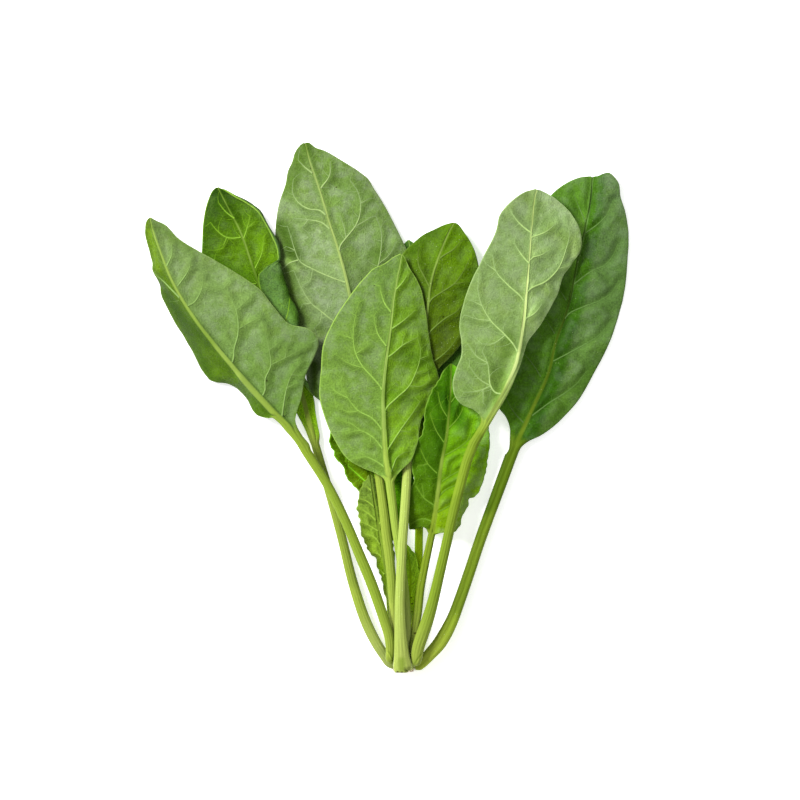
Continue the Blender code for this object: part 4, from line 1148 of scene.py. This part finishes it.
crinkled_flesh = leaf_materials(
    "crinkled leaf", vein=(135, 165, 57), around=(103, 131, 29), under=(102, 130, 25), upper=(80, 120, 30),
    rib=(105, 128, 40), stalk=(150, 180, 64), stalk_base=(170, 192, 90), pale=(143, 172, 63),
    base_tint=(1.25, 1.26, 0.02), tip_tint=(0.8, 0.79, 2.5), net=0.15, edge=0.3, mottle=1.0, seed=52.0,
    shades=[
        (-12, 47, -8, 38, 5, 0.7), (-18, 60, -14, 56, 5, 1.2), (-21, 60, -22, 74, 3, 1.25),
        (-8, 66, -7, 52, 5, 1.25),
    ],
    marks=[(-10.6, 65.4, 0.7)],
)
crinkled_leaf = living(
    "leaf_small_crinkled_piece", crinkled_flesh,
    veins=[
        [(-9, 50), (-12, 53), (-15, 53.6)], [(-10.5, 57), (-14, 61.5), (-18, 62.5), (-20, 62.5)],
        [(-12, 64.5), (-17, 67.5), (-21, 69.8)], [(-12.4, 69), (-16, 72.5), (-21.5, 76)],
        [(-13.4, 76), (-17, 79), (-21.5, 81)], [(-14.6, 84), (-18, 87)], [(-8, 42), (-10.5, 44.5)],
        [(-8.6, 48), (-5, 52)], [(-10, 57), (-6, 62)], [(-12, 67), (-8, 73)],
    ],
    branches=[
        [(-12, 53), (-13, 56)], [(-14, 61.5), (-15, 65)], [(-17, 67.5), (-18, 72)],
        [(-16, 72.5), (-17, 76)],
    ],
    bulge=0.0024, ripple=0.0008, vein_radius=0.00038, seed=0.71, rows=(24, 110), columns=(4, 26),
    ragged=0.5, stalk=[(-2.9, 3, 4.6), (-4.6, 12, 4.8), (-5.8, 20, 5), (-6.4, 27, 5.2)],
    midrib=[(-7.2, 38, 5.4), (-9.4, 52, 5.6), (-11.6, 65, 5.8), (-13.6, 78, 6), (-16, 93, 6)],
    left=[
        (-8, 31), (-9.7, 34), (-10, 38.5), (-11.6, 43), (-13.2, 47.3), (-13.9, 50.5), (-16.2, 53),
        (-18.3, 57.5), (-20.3, 61.5), (-21, 66.5), (-22.4, 73.3), (-22.6, 79.5), (-21.3, 84.5),
        (-19.5, 89.5),
    ],
    right=[(-4.4, 36), (-3.4, 48), (-4, 60), (-5.6, 72), (-8.4, 82), (-12, 90)],
    left_z=(5.2, 5, 4.6, 4.8, 5.4, 5.8, 6), right_z=(5.2, 5.6, 5.6, 5.8, 6, 6, 6),
    stalk_widths=(2.6, 3.0, 2.8), waves={"left": (0.6, 5, 0), "right": (0.3, 4, 0)},
)
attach(crinkled_leaf, "root")
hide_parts("leaf_small_crinkled")


# Smallest leaf
# The innermost leaf, still curled and dark, on a thin stalk of its own among the thick ones.

curled_flesh = leaf_materials(
    "curled leaf", vein=(175, 225, 49), around=(147, 194, 19), under=(124, 158, 70), upper=(125, 170, 16),
    rib=(120, 160, 3), stalk=(140, 170, 60), stalk_base=(176, 196, 110), pale=(182, 232, 58),
    base_tint=(2.5, 2.23, 0.02), tip_tint=(0.32, 0.45, 2.5), net=0.15, edge=0.4, mottle=1.2, seed=61.0,
    shades=[(3.4, 40, 3, 26, 3, 1.25), (3.6, 18, 3.2, 10, 3, 1.25)],
    marks=[(5, 38, 0.6), (4.5, 31, 0.5), (4.8, 28, 0.5), (4.8, 24, 0.5), (4.7, 12, 0.5)],
)
curled_leaf = living(
    "leaf_inner_curled_piece", curled_flesh,
    veins=[
        [(3.3, 30), (5, 33), (6.4, 37)], [(3.8, 36), (6, 40), (7.6, 45)], [(4, 43), (5.5, 47), (6.6, 51)],
        [(3.6, 33), (1.8, 38), (1, 43)],
    ],
    bulge=0.0005, ripple=0.0003, vein_radius=0.0002, seed=0.83, rows=(16, 60), columns=(4, 14), ragged=0.3,
    flare=(1.0, 20), underside_up=False, stalk=[(1, 3, 6.5), (1.9, 10, 6.2), (2.6, 17, 6.1)],
    midrib=[(3.4, 28, 6.1), (4.2, 40, 6.5), (3.6, 50, 6.8), (2.4, 58, 6.8)],
    left=[(0.6, 26), (-0.4, 36), (-0.2, 47), (0.8, 54)],
    right=[
        (4.5, 18), (5.2, 21), (5.9, 27), (6.4, 33), (8, 38), (8.8, 42.5), (8.3, 47), (7, 52), (4.7, 55.6),
    ],
    left_z=(6.3, 6.5, 6.6, 6.6, 6.6), right_z=(6.1, 5.9, 5.8, 6.2, 6.8), stalk_widths=(4.4, 3.8),
)
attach(curled_leaf, "root")
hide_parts("leaf_inner_curled")


# Lower right leaf
# Upper side up and waved along its right margin. Its right half is turned to the light, and the shine
# of the wax on it is a painted sheen and a lighter tint.

low_right_flesh = leaf_materials(
    "low right leaf", vein=(103, 141, 42), around=(91, 132, 4), under=(120, 154, 76), upper=(86, 126, 3),
    rib=(121, 143, 57), stalk=(108, 129, 31), stalk_base=(128, 142, 61), pale=(114, 149, 53),
    left_tint=(0.53, 0.62, 0.02), right_tint=(1.68, 1.54, 2.5), base_tint=(1.09, 0.85, 0.21),
    tip_tint=(0.91, 1.18, 2.5), edge=0.6, mottle=0.6, specks=0.3, seed=72.0, sheen=0.8, sheen_left=0.0,
    shades=[
        (22, 131, 27, 122, 8, 0.5), (19, 118, 20, 106, 7, 0.6), (24, 149, 26, 138, 4, 0.55),
        (6.5, 74, 12, 71, 6, 1.5), (13, 103, 18, 92, 6, 0.72), (24, 92, 22, 82, 5, 0.75),
        (34, 92, 32, 82, 6, 1.05), (26, 131, 30, 118, 7, 0.6), (27, 122, 25, 98, 9, 0.82),
    ],
    marks=[(6.4, 13.3, 0.9)],
)
low_right_leaf = living(
    "leaf_low_right_piece", low_right_flesh,
    veins=[
        [(20.5, 102), (24, 103.6), (28, 106), (33, 110), (35, 118)],
        [(18.5, 88), (24, 92), (31, 96), (37, 103)], [(18, 81), (21.8, 85.1), (26.9, 87.5), (33, 92)],
        [(16, 73), (22, 76), (28, 80)], [(22.6, 115), (28, 121), (32, 129)],
        [(24, 128), (28, 134), (30, 140)], [(15.5, 69), (11, 70.5), (8.9, 70.3), (4.8, 68.2)],
        [(16.5, 77), (11, 81), (7, 87)], [(19, 92), (13, 98), (9, 106)],
        [(21.5, 108), (17, 115), (14, 123)], [(23, 121), (19.5, 127), (18, 134)],
    ],
    branches=[
        [(28, 106), (34, 106.5)], [(31, 96), (36, 95)], [(24, 92), (25, 98), (29, 101)],
        [(33, 110), (38, 113)], [(13, 98), (8, 97)], [(11, 81), (10, 88)],
    ],
    bulge=0.0012, ripple=0.0004, vein_radius=0.00026, seed=0.89, foot=[(3.2, -3.0, 8), (4.0, 0, 8.4)],
    crest=0.6, ragged=0.25, fan={"left": 0.65, "right": 0.65}, underside_up=False,
    stalk=[
        (4.7, 3, 8), (6.3, 14, 8), (7.7, 22, 7.9), (9.3, 36, 7.9), (11.3, 46.3, 7.8), (13.5, 56.5, 7.8),
        (14.9, 63, 8),
    ],
    midrib=[
        (17.5, 79.5, 8.8), (20, 100, 10), (22, 110, 10.8), (23.4, 122, 11.8), (24.3, 136, 12.2),
        (24.5, 148.4, 12.2),
    ],
    left=[
        (11.4, 66), (7.8, 66.5), (3.8, 65.4), (3, 69), (3.4, 75), (3.6, 82), (4.4, 86), (5.7, 89),
        (5.6, 92), (4.9, 95), (4.9, 98.5), (4.8, 103), (6.4, 109), (10, 113.5), (10.5, 117), (10.9, 122.3),
        (12.2, 129), (15, 135.3), (18, 140.3), (21.6, 146),
    ],
    right=[
        (20.5, 63.5), (26, 63.7), (29, 67), (30, 71), (33, 77), (34.5, 81.3), (35.9, 81.3), (39.8, 87),
        (42.5, 97), (43.5, 104), (44, 110), (43.5, 115), (41, 123), (38, 131), (34, 139), (29.5, 145),
    ],
    left_z=(8, 8, 8.6, 9.8, 12.2, 13.6, 12.2), right_z=(8, 7, 6.4, 6.4, 7.4, 9.8, 12.2),
    stalk_widths=(2.8, 4.2, 4.0, 3.6), waves={"right": (0.8, 4.5, 0)},
)
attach(low_right_leaf, "root")
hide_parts("leaf_low_right")


# Front middle leaf
# Underside up in front of all but the left one, its juicy rib as wide as the stalk for half its
# length.

front_middle_flesh = leaf_materials(
    "front middle leaf", vein=(123, 157, 66), around=(93, 125, 39), under=(92, 123, 36),
    upper=(70, 108, 24), rib=(121, 146, 67), stalk=(139, 162, 64), stalk_base=(158, 169, 95),
    pale=(132, 165, 70), left_tint=(0.94, 0.89, 1.84), right_tint=(1.07, 1.12, 0.54),
    base_tint=(1.27, 1.25, 1.1), tip_tint=(0.78, 0.8, 0.91), net=0.16, edge=0.9, mottle=0.8, seed=85.0,
    specular=0.05, sheen=0.5,
    shades=[(3, 152, 15, 147, 8, 0.72), (-6, 133, 6, 130, 7, 0.75), (-6, 108, -2, 98, 5, 0.8)],
    marks=[(-30.5, 190.5, 0.6), (-14, 187, 0.4)],
)
front_middle_leaf = living(
    "leaf_front_middle_piece", front_middle_flesh,
    veins=[
        [
            (-9.4, 131), (-10, 135), (-14.4, 141), (-19, 146), (-23, 153), (-24.3, 160.5), (-23.8, 168),
            (-21.6, 178.5),
        ],
        [(-9, 113.5), (-12, 118), (-15, 121), (-21.6, 124.5), (-27, 131), (-30.6, 138)],
        [(-8.2, 103), (-10.3, 106.5), (-15.3, 112), (-20.7, 114.6), (-28, 113)],
        [(-7.4, 95), (-9.4, 97), (-13.5, 99.7), (-18, 101.5), (-22.5, 100.6)],
        [(-5.8, 165), (0, 169), (6.3, 174.5)], [(-7.6, 151), (-5.4, 152.4), (0, 157), (8, 161.4)],
        [(-9.2, 123), (-7.7, 126), (-2.7, 131), (3.6, 137), (6.8, 143.4), (9, 150.6), (9, 157), (7.7, 161)],
        [(-8.6, 103), (-6.3, 106.5), (-1, 114.6), (5.4, 123.6), (9, 129)],
        [(-6, 93.5), (-4.5, 96.6), (-2.7, 101), (1, 103.8)], [(-4.8, 173), (-9, 179), (-11, 187)],
        [(-3, 185), (0.5, 189), (3, 193)], [(-7, 156), (-12, 163), (-14, 172)],
    ],
    branches=[
        [(-19, 146), (-26, 148), (-33, 153)], [(-23, 153), (-17, 157)], [(-24.3, 160.5), (-31, 163)],
        [(-21.6, 124.5), (-27, 124), (-33, 128)], [(-27, 131), (-34, 135), (-37, 141)],
        [(-15.3, 112), (-16, 107)], [(6.8, 143.4), (12, 145)], [(9, 150.6), (13, 152)],
        [(3.6, 137), (10, 137), (14, 140)], [(-1, 114.6), (4, 114)], [(0, 157), (1, 162)],
        [(-20.7, 114.6), (-25, 118), (-32, 120)],
    ],
    bulge=0.0012, ripple=0.0005, vein_radius=0.0005, seed=0.97, foot=[(0.2, -3.0, 9), (0.3, 0, 9.4)],
    crest=0.35, fan={"left": 0.65, "right": 0.65},
    stalk=[
        (0.6, 3, 9.6), (2.4, 12, 10.0), (2.3, 22, 9.8), (1.6, 32, 9.6), (0.2, 44, 9.4), (-1.6, 56, 9.2),
        (-3.4, 67, 9.4), (-4.9, 79.5, 10.8), (-6.1, 89, 12.6),
    ],
    midrib=[
        (-7.6, 97.5, 14), (-9, 115.5, 15.8), (-9.4, 133.5, 17), (-8, 149.7, 17.5), (-5.8, 165, 17.4),
        (-4, 181, 16.2), (-1.3, 195.6, 14.2), (0, 203.2, 13),
    ],
    left=[
        (-9, 90.3), (-12.6, 93), (-19.8, 96), (-27, 100.2), (-34.2, 110.5), (-38.7, 121), (-41.4, 131.7),
        (-40.7, 145), (-39.6, 157), (-35, 168.6), (-27, 181), (-18, 192.4), (-14.8, 195.6), (-9, 198.3),
        (-3.6, 202),
    ],
    right=[
        (-2.7, 92), (1, 96), (4.5, 99.3), (6.8, 104.7), (8.6, 111), (9, 115.5), (10.4, 121), (14.5, 126),
        (18, 133), (19, 139), (18, 144), (16.2, 149), (13.5, 164), (11.3, 178.5), (9.9, 185), (7.7, 190),
        (4.5, 195), (1.8, 200.6),
    ],
    left_z=(12.6, 11.6, 11.5, 12, 12.4, 12.6, 13), right_z=(12.6, 12.6, 10, 9.6, 11.6, 13.2, 13),
    stalk_widths=(2.8, 4.2, 4.2, 4.4), waves={"left": (0.7, 4, 0), "right": (0.2, 3, 0)},
)
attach(front_middle_leaf, "root")
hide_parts("leaf_front_middle")


# Front right leaf
# The palest leaf, underside up. Its stalk is bare at the right of its lowest part, where the blade
# grows only on the left.

front_right_flesh = leaf_materials(
    "front right leaf", vein=(146, 172, 103), around=(114, 137, 91), under=(118, 141, 93),
    upper=(90, 124, 50), rib=(152, 169, 102), stalk=(107, 130, 33), stalk_base=(129, 146, 56),
    pale=(156, 182, 116), left_tint=(0.86, 0.86, 0.84), right_tint=(1.17, 1.17, 1.2),
    base_tint=(0.88, 0.96, 0.68), tip_tint=(0.96, 0.92, 1.23), net=0.12, edge=0.45, seed=93.0,
    specular=0.04, sheen=0.7, sheen_left=0.6,
    shades=[
        (54, 162, 46, 130, 6, 0.72), (62, 188, 66, 158, 6, 1.4), (45, 150, 50, 135, 6, 0.85),
        (57, 152, 42, 114, 4.5, 1.55), (36, 104, 27, 84, 4, 1.15), (68, 220, 84, 208, 8, 0.85),
        (70, 226, 60, 232, 6, 0.85), (40, 190, 44, 170, 8, 1.12), (9.4, 3.0, 6.2, -1.4, 0.7, 0.7),
        (10.4, 3.2, 6.7, -2.0, 0.5, 1.35), (66, 212, 62, 160, 2.5, 1.3), (85, 224, 86, 202, 3, 1.6),
    ],
)
front_right_leaf = living(
    "leaf_front_right_piece", front_right_flesh,
    veins=[
        [(58, 153), (56.4, 156.5), (51.6, 162.3), (44.3, 169.6), (40, 177), (38, 184.4), (38.5, 192.8)],
        [(61.8, 178), (60, 180.7), (52.7, 187.5), (46.9, 194.4), (45.3, 202.3)],
        [(65, 213), (61, 216), (56.9, 220.2), (54, 225)],
        [(62.5, 184), (64.3, 185.5), (71.6, 189), (78, 195.5), (82, 205.5), (83.7, 212.8), (82, 220)],
        [(63.5, 199), (64.8, 200.7), (69.5, 202.3), (73.2, 204.4)],
        [(64.5, 211), (66.4, 211.7), (71.6, 213.8), (77.4, 218.5)],
        [(50.5, 133), (46.9, 133.5), (44.3, 137), (43.5, 143), (42.7, 148.5), (40, 154)],
        [(60.5, 170), (66, 173), (70, 178)], [(63.5, 198), (60, 202), (56, 208)],
    ],
    branches=[
        [(44.3, 169.6), (38, 170.3), (31, 172.5)], [(44.3, 137), (39, 140.1), (33.7, 146.5)],
        [(44.3, 137), (37.9, 134.4), (30.6, 133.8)], [(40.5, 135.4), (40.5, 128.5)], [(40, 177), (34, 180)],
        [(51.6, 162.3), (45, 158), (40, 158)], [(78, 195.5), (84, 197)], [(71.6, 189), (74, 184)],
        [(46.9, 194.4), (42, 198)], [(42.7, 148.5), (37, 152), (33, 158)],
    ],
    bulge=0.001, ripple=0.0005, vein_radius=0.00048, seed=1.09, foot=[(5.9, -2.9, 8.6), (6.3, -1.7, 9.8)],
    flare=(0.0, 3.2), rounding=6.5, crest=0.25, fan={"left": 0.55, "right": 0.25},
    stalk=[
        (6.9, -0.4, 11), (8.3, 7, 12), (10.3, 13, 12.5), (12.7, 20, 12.9), (15.6, 30, 13.1), (18, 40, 13.2),
        (20.3, 50, 13.4), (22.6, 60, 13.6), (24.8, 70, 13.8), (27.2, 80, 14), (29.8, 90, 14.4),
        (32.6, 100, 14.8), (36, 108.5, 15.2),
    ],
    midrib=[
        (42, 119, 15.8), (50.4, 133.5, 16.8), (56.4, 147, 17.6), (60.5, 169.5, 18.4), (63, 195.5, 18),
        (65, 219, 15.6), (66.5, 231.8, 13), (67.5, 235.5, 12),
    ],
    left=[
        (37, 114.5), (39.3, 119), (39, 122.2), (35.5, 125.2), (30.4, 127.3), (26.8, 131), (25.2, 137),
        (27.3, 146.5), (29.4, 152), (29.5, 159.5), (28.5, 166), (30.8, 179), (33.5, 187), (40.5, 201.5),
        (47.3, 216.5), (48.5, 222), (52.5, 227.5), (57.5, 231.8), (62.3, 234.5),
    ],
    right=[
        (44, 118), (52.6, 132.6), (58.9, 147), (63.5, 159), (68.5, 166), (73.5, 174.3), (77.8, 182.5),
        (81.3, 192.5), (84.8, 198), (89, 203.7), (90, 209.5), (89, 215.5), (85.5, 222), (81.3, 227),
        (76.5, 231), (71.5, 234),
    ],
    left_z=(15.2, 15.6, 14, 14, 14.4, 14, 12), right_z=(15.2, 16, 17, 14, 11.5, 11, 12),
    stalk_widths=(6.0, 6.3, 5.5, 5.1, 5.0, 5.0, 5.0, 5.0),
    waves={"left": (0.6, 3.5, 0.1), "right": (0.5, 3, 0.5)},
)
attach(front_right_leaf, "root")
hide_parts("leaf_front_right")


# Front left leaf
# Underside up in front of the others at the left. Its left half bends down from the midrib and is
# tinted darker as painted shade, and its stalk joins the crown in front.

front_left_flesh = leaf_materials(
    "front left leaf", vein=(111, 138, 73), around=(80, 106, 45), under=(87, 113, 47), upper=(76, 110, 40),
    rib=(114, 136, 57), stalk=(114, 136, 41), stalk_base=(129, 146, 53), pale=(121, 147, 75),
    left_tint=(0.56, 0.67, 0.04), right_tint=(1.11, 1.07, 1.58), base_tint=(0.85, 0.97, 0.62),
    tip_tint=(1.17, 1.03, 1.62), edge=0.6, mottle=0.72, seed=101.0, specular=0.04, sheen=0.5,
    sheen_left=0.0,
    shades=[
        (-119, 182, -97, 158, 6, 0.7), (-121, 190, -96, 142, 4, 0.72), (-92, 140, -78, 132, 3, 0.8),
        (-82, 178, -74, 166, 7, 1.25), (-123, 217, -104, 205, 5, 0.78), (-126, 214, -122, 196, 3, 1.5),
        (-94, 143, -84, 141, 5, 1.35), (-84, 188, -70, 179, 8, 1.25), (-88, 160, -78, 148, 6, 1.1),
        (-6.5, 4.2, -3.7, -1.4, 0.7, 0.7), (-7.2, 3.8, -4.0, -2.2, 0.5, 1.35),
    ],
    marks=[(-67.7, 139.6, 0.7)],
)
front_left_leaf = living(
    "leaf_front_left_piece", front_left_flesh,
    veins=[
        [
            (-85, 148), (-84, 151), (-83.8, 155), (-82, 162), (-81.7, 168), (-83, 175.5), (-89.5, 185.2),
            (-98.9, 186.8),
        ],
        [
            (-70.5, 130.5), (-68.3, 135), (-68.3, 140), (-65.4, 147.5), (-66.3, 155), (-67.5, 161),
            (-69, 166.6),
        ],
        [(-60, 121), (-59, 128), (-57.5, 136), (-55, 142.5), (-51, 148)],
        [(-107, 177), (-104.4, 178.2), (-101, 183), (-99.8, 186), (-99.3, 191.7)],
        [(-112, 187), (-109, 191), (-106, 196.5), (-105.4, 201)], [(-117.5, 197), (-115, 203), (-115, 208)],
        [(-110.4, 180.4), (-115.8, 185.8), (-120, 190), (-122.5, 192), (-125, 195)],
    ],
    branches=[
        [(-65.4, 147.5), (-58.3, 151), (-52.5, 154), (-46.7, 156.7)],
        [(-81.2, 165.6), (-76, 168.6), (-71, 170.8)], [(-82.6, 175), (-79, 178), (-75.6, 181)],
        [(-57.5, 136), (-53, 138)], [(-66.3, 155), (-61, 158.5)], [(-55, 142.5), (-50, 142)],
        [(-58.3, 151), (-57.5, 156)], [(-89.5, 185.2), (-86, 189)], [(-68.3, 140), (-73, 146)],
        [(-83.8, 155), (-88, 162)],
    ],
    bulge=0.0012, ripple=0.0005, vein_radius=0.00052, seed=1.23,
    foot=[(-3.8, -2.8, 8.2), (-4.8, -1.0, 9.6)], flare=(0.0, 3.2), rounding=8.0, crest=0.4,
    stalk=[
        (-6.2, 0.6, 11.4), (-5.9, 6, 12.5), (-6.6, 12, 13), (-8.9, 20, 13.2), (-12.2, 30, 13.3),
        (-16.3, 41, 13), (-20.5, 51, 12.7), (-28.5, 70, 12.3), (-37.5, 88, 12.5), (-47.6, 104, 13),
    ],
    midrib=[
        (-56, 115.6, 13.5), (-65, 125, 14), (-75, 136, 14.5), (-85, 147.5, 15), (-95, 159.6, 15),
        (-105, 173, 14), (-115, 190, 12), (-121.7, 206.7, 9.5), (-125, 216, 8), (-126.3, 221.8, 7.5),
    ],
    left=[
        (-53.5, 109), (-58, 114.5), (-62, 119.2), (-65.5, 121.4), (-69, 121), (-72.5, 121.8),
        (-75.4, 124.6), (-77.5, 128.8), (-80, 132.5), (-84, 135.8), (-88.3, 137.8), (-93, 138.2),
        (-96.7, 139.3), (-99, 141.7), (-105, 153), (-110, 161), (-115, 169), (-119, 176.7), (-121.3, 182.5),
        (-122.5, 190), (-125, 196), (-127, 203), (-129, 215), (-128.3, 219),
    ],
    right=[
        (-46.2, 107.5), (-49.6, 112), (-52.3, 116.6), (-53.2, 119.5), (-52.5, 124), (-50.6, 130),
        (-47.5, 144), (-44, 151), (-41.6, 159), (-43.4, 163), (-46.7, 165.6), (-50.8, 166.8), (-55, 167.7),
        (-64, 176.7), (-70.4, 184.8), (-76.7, 189.6), (-85, 195), (-95, 200.8), (-102.5, 205),
        (-112.5, 211.5), (-118.3, 217.7), (-124, 220.4),
    ],
    left_z=(13.2, 10, 4.4, 1.9, 1.4, 3.2, 7.5), right_z=(13.2, 13.3, 12.8, 12.2, 11.6, 10.4, 7.5),
    stalk_widths=(4.2, 5.2, 5.3, 4.9, 4.7, 4.9),
    waves={"left": (0.9, 3.3, 0.87), "right": (0.6, 4.4, 0.56)},
)
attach(front_left_leaf, "root")
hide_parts("leaf_front_left")
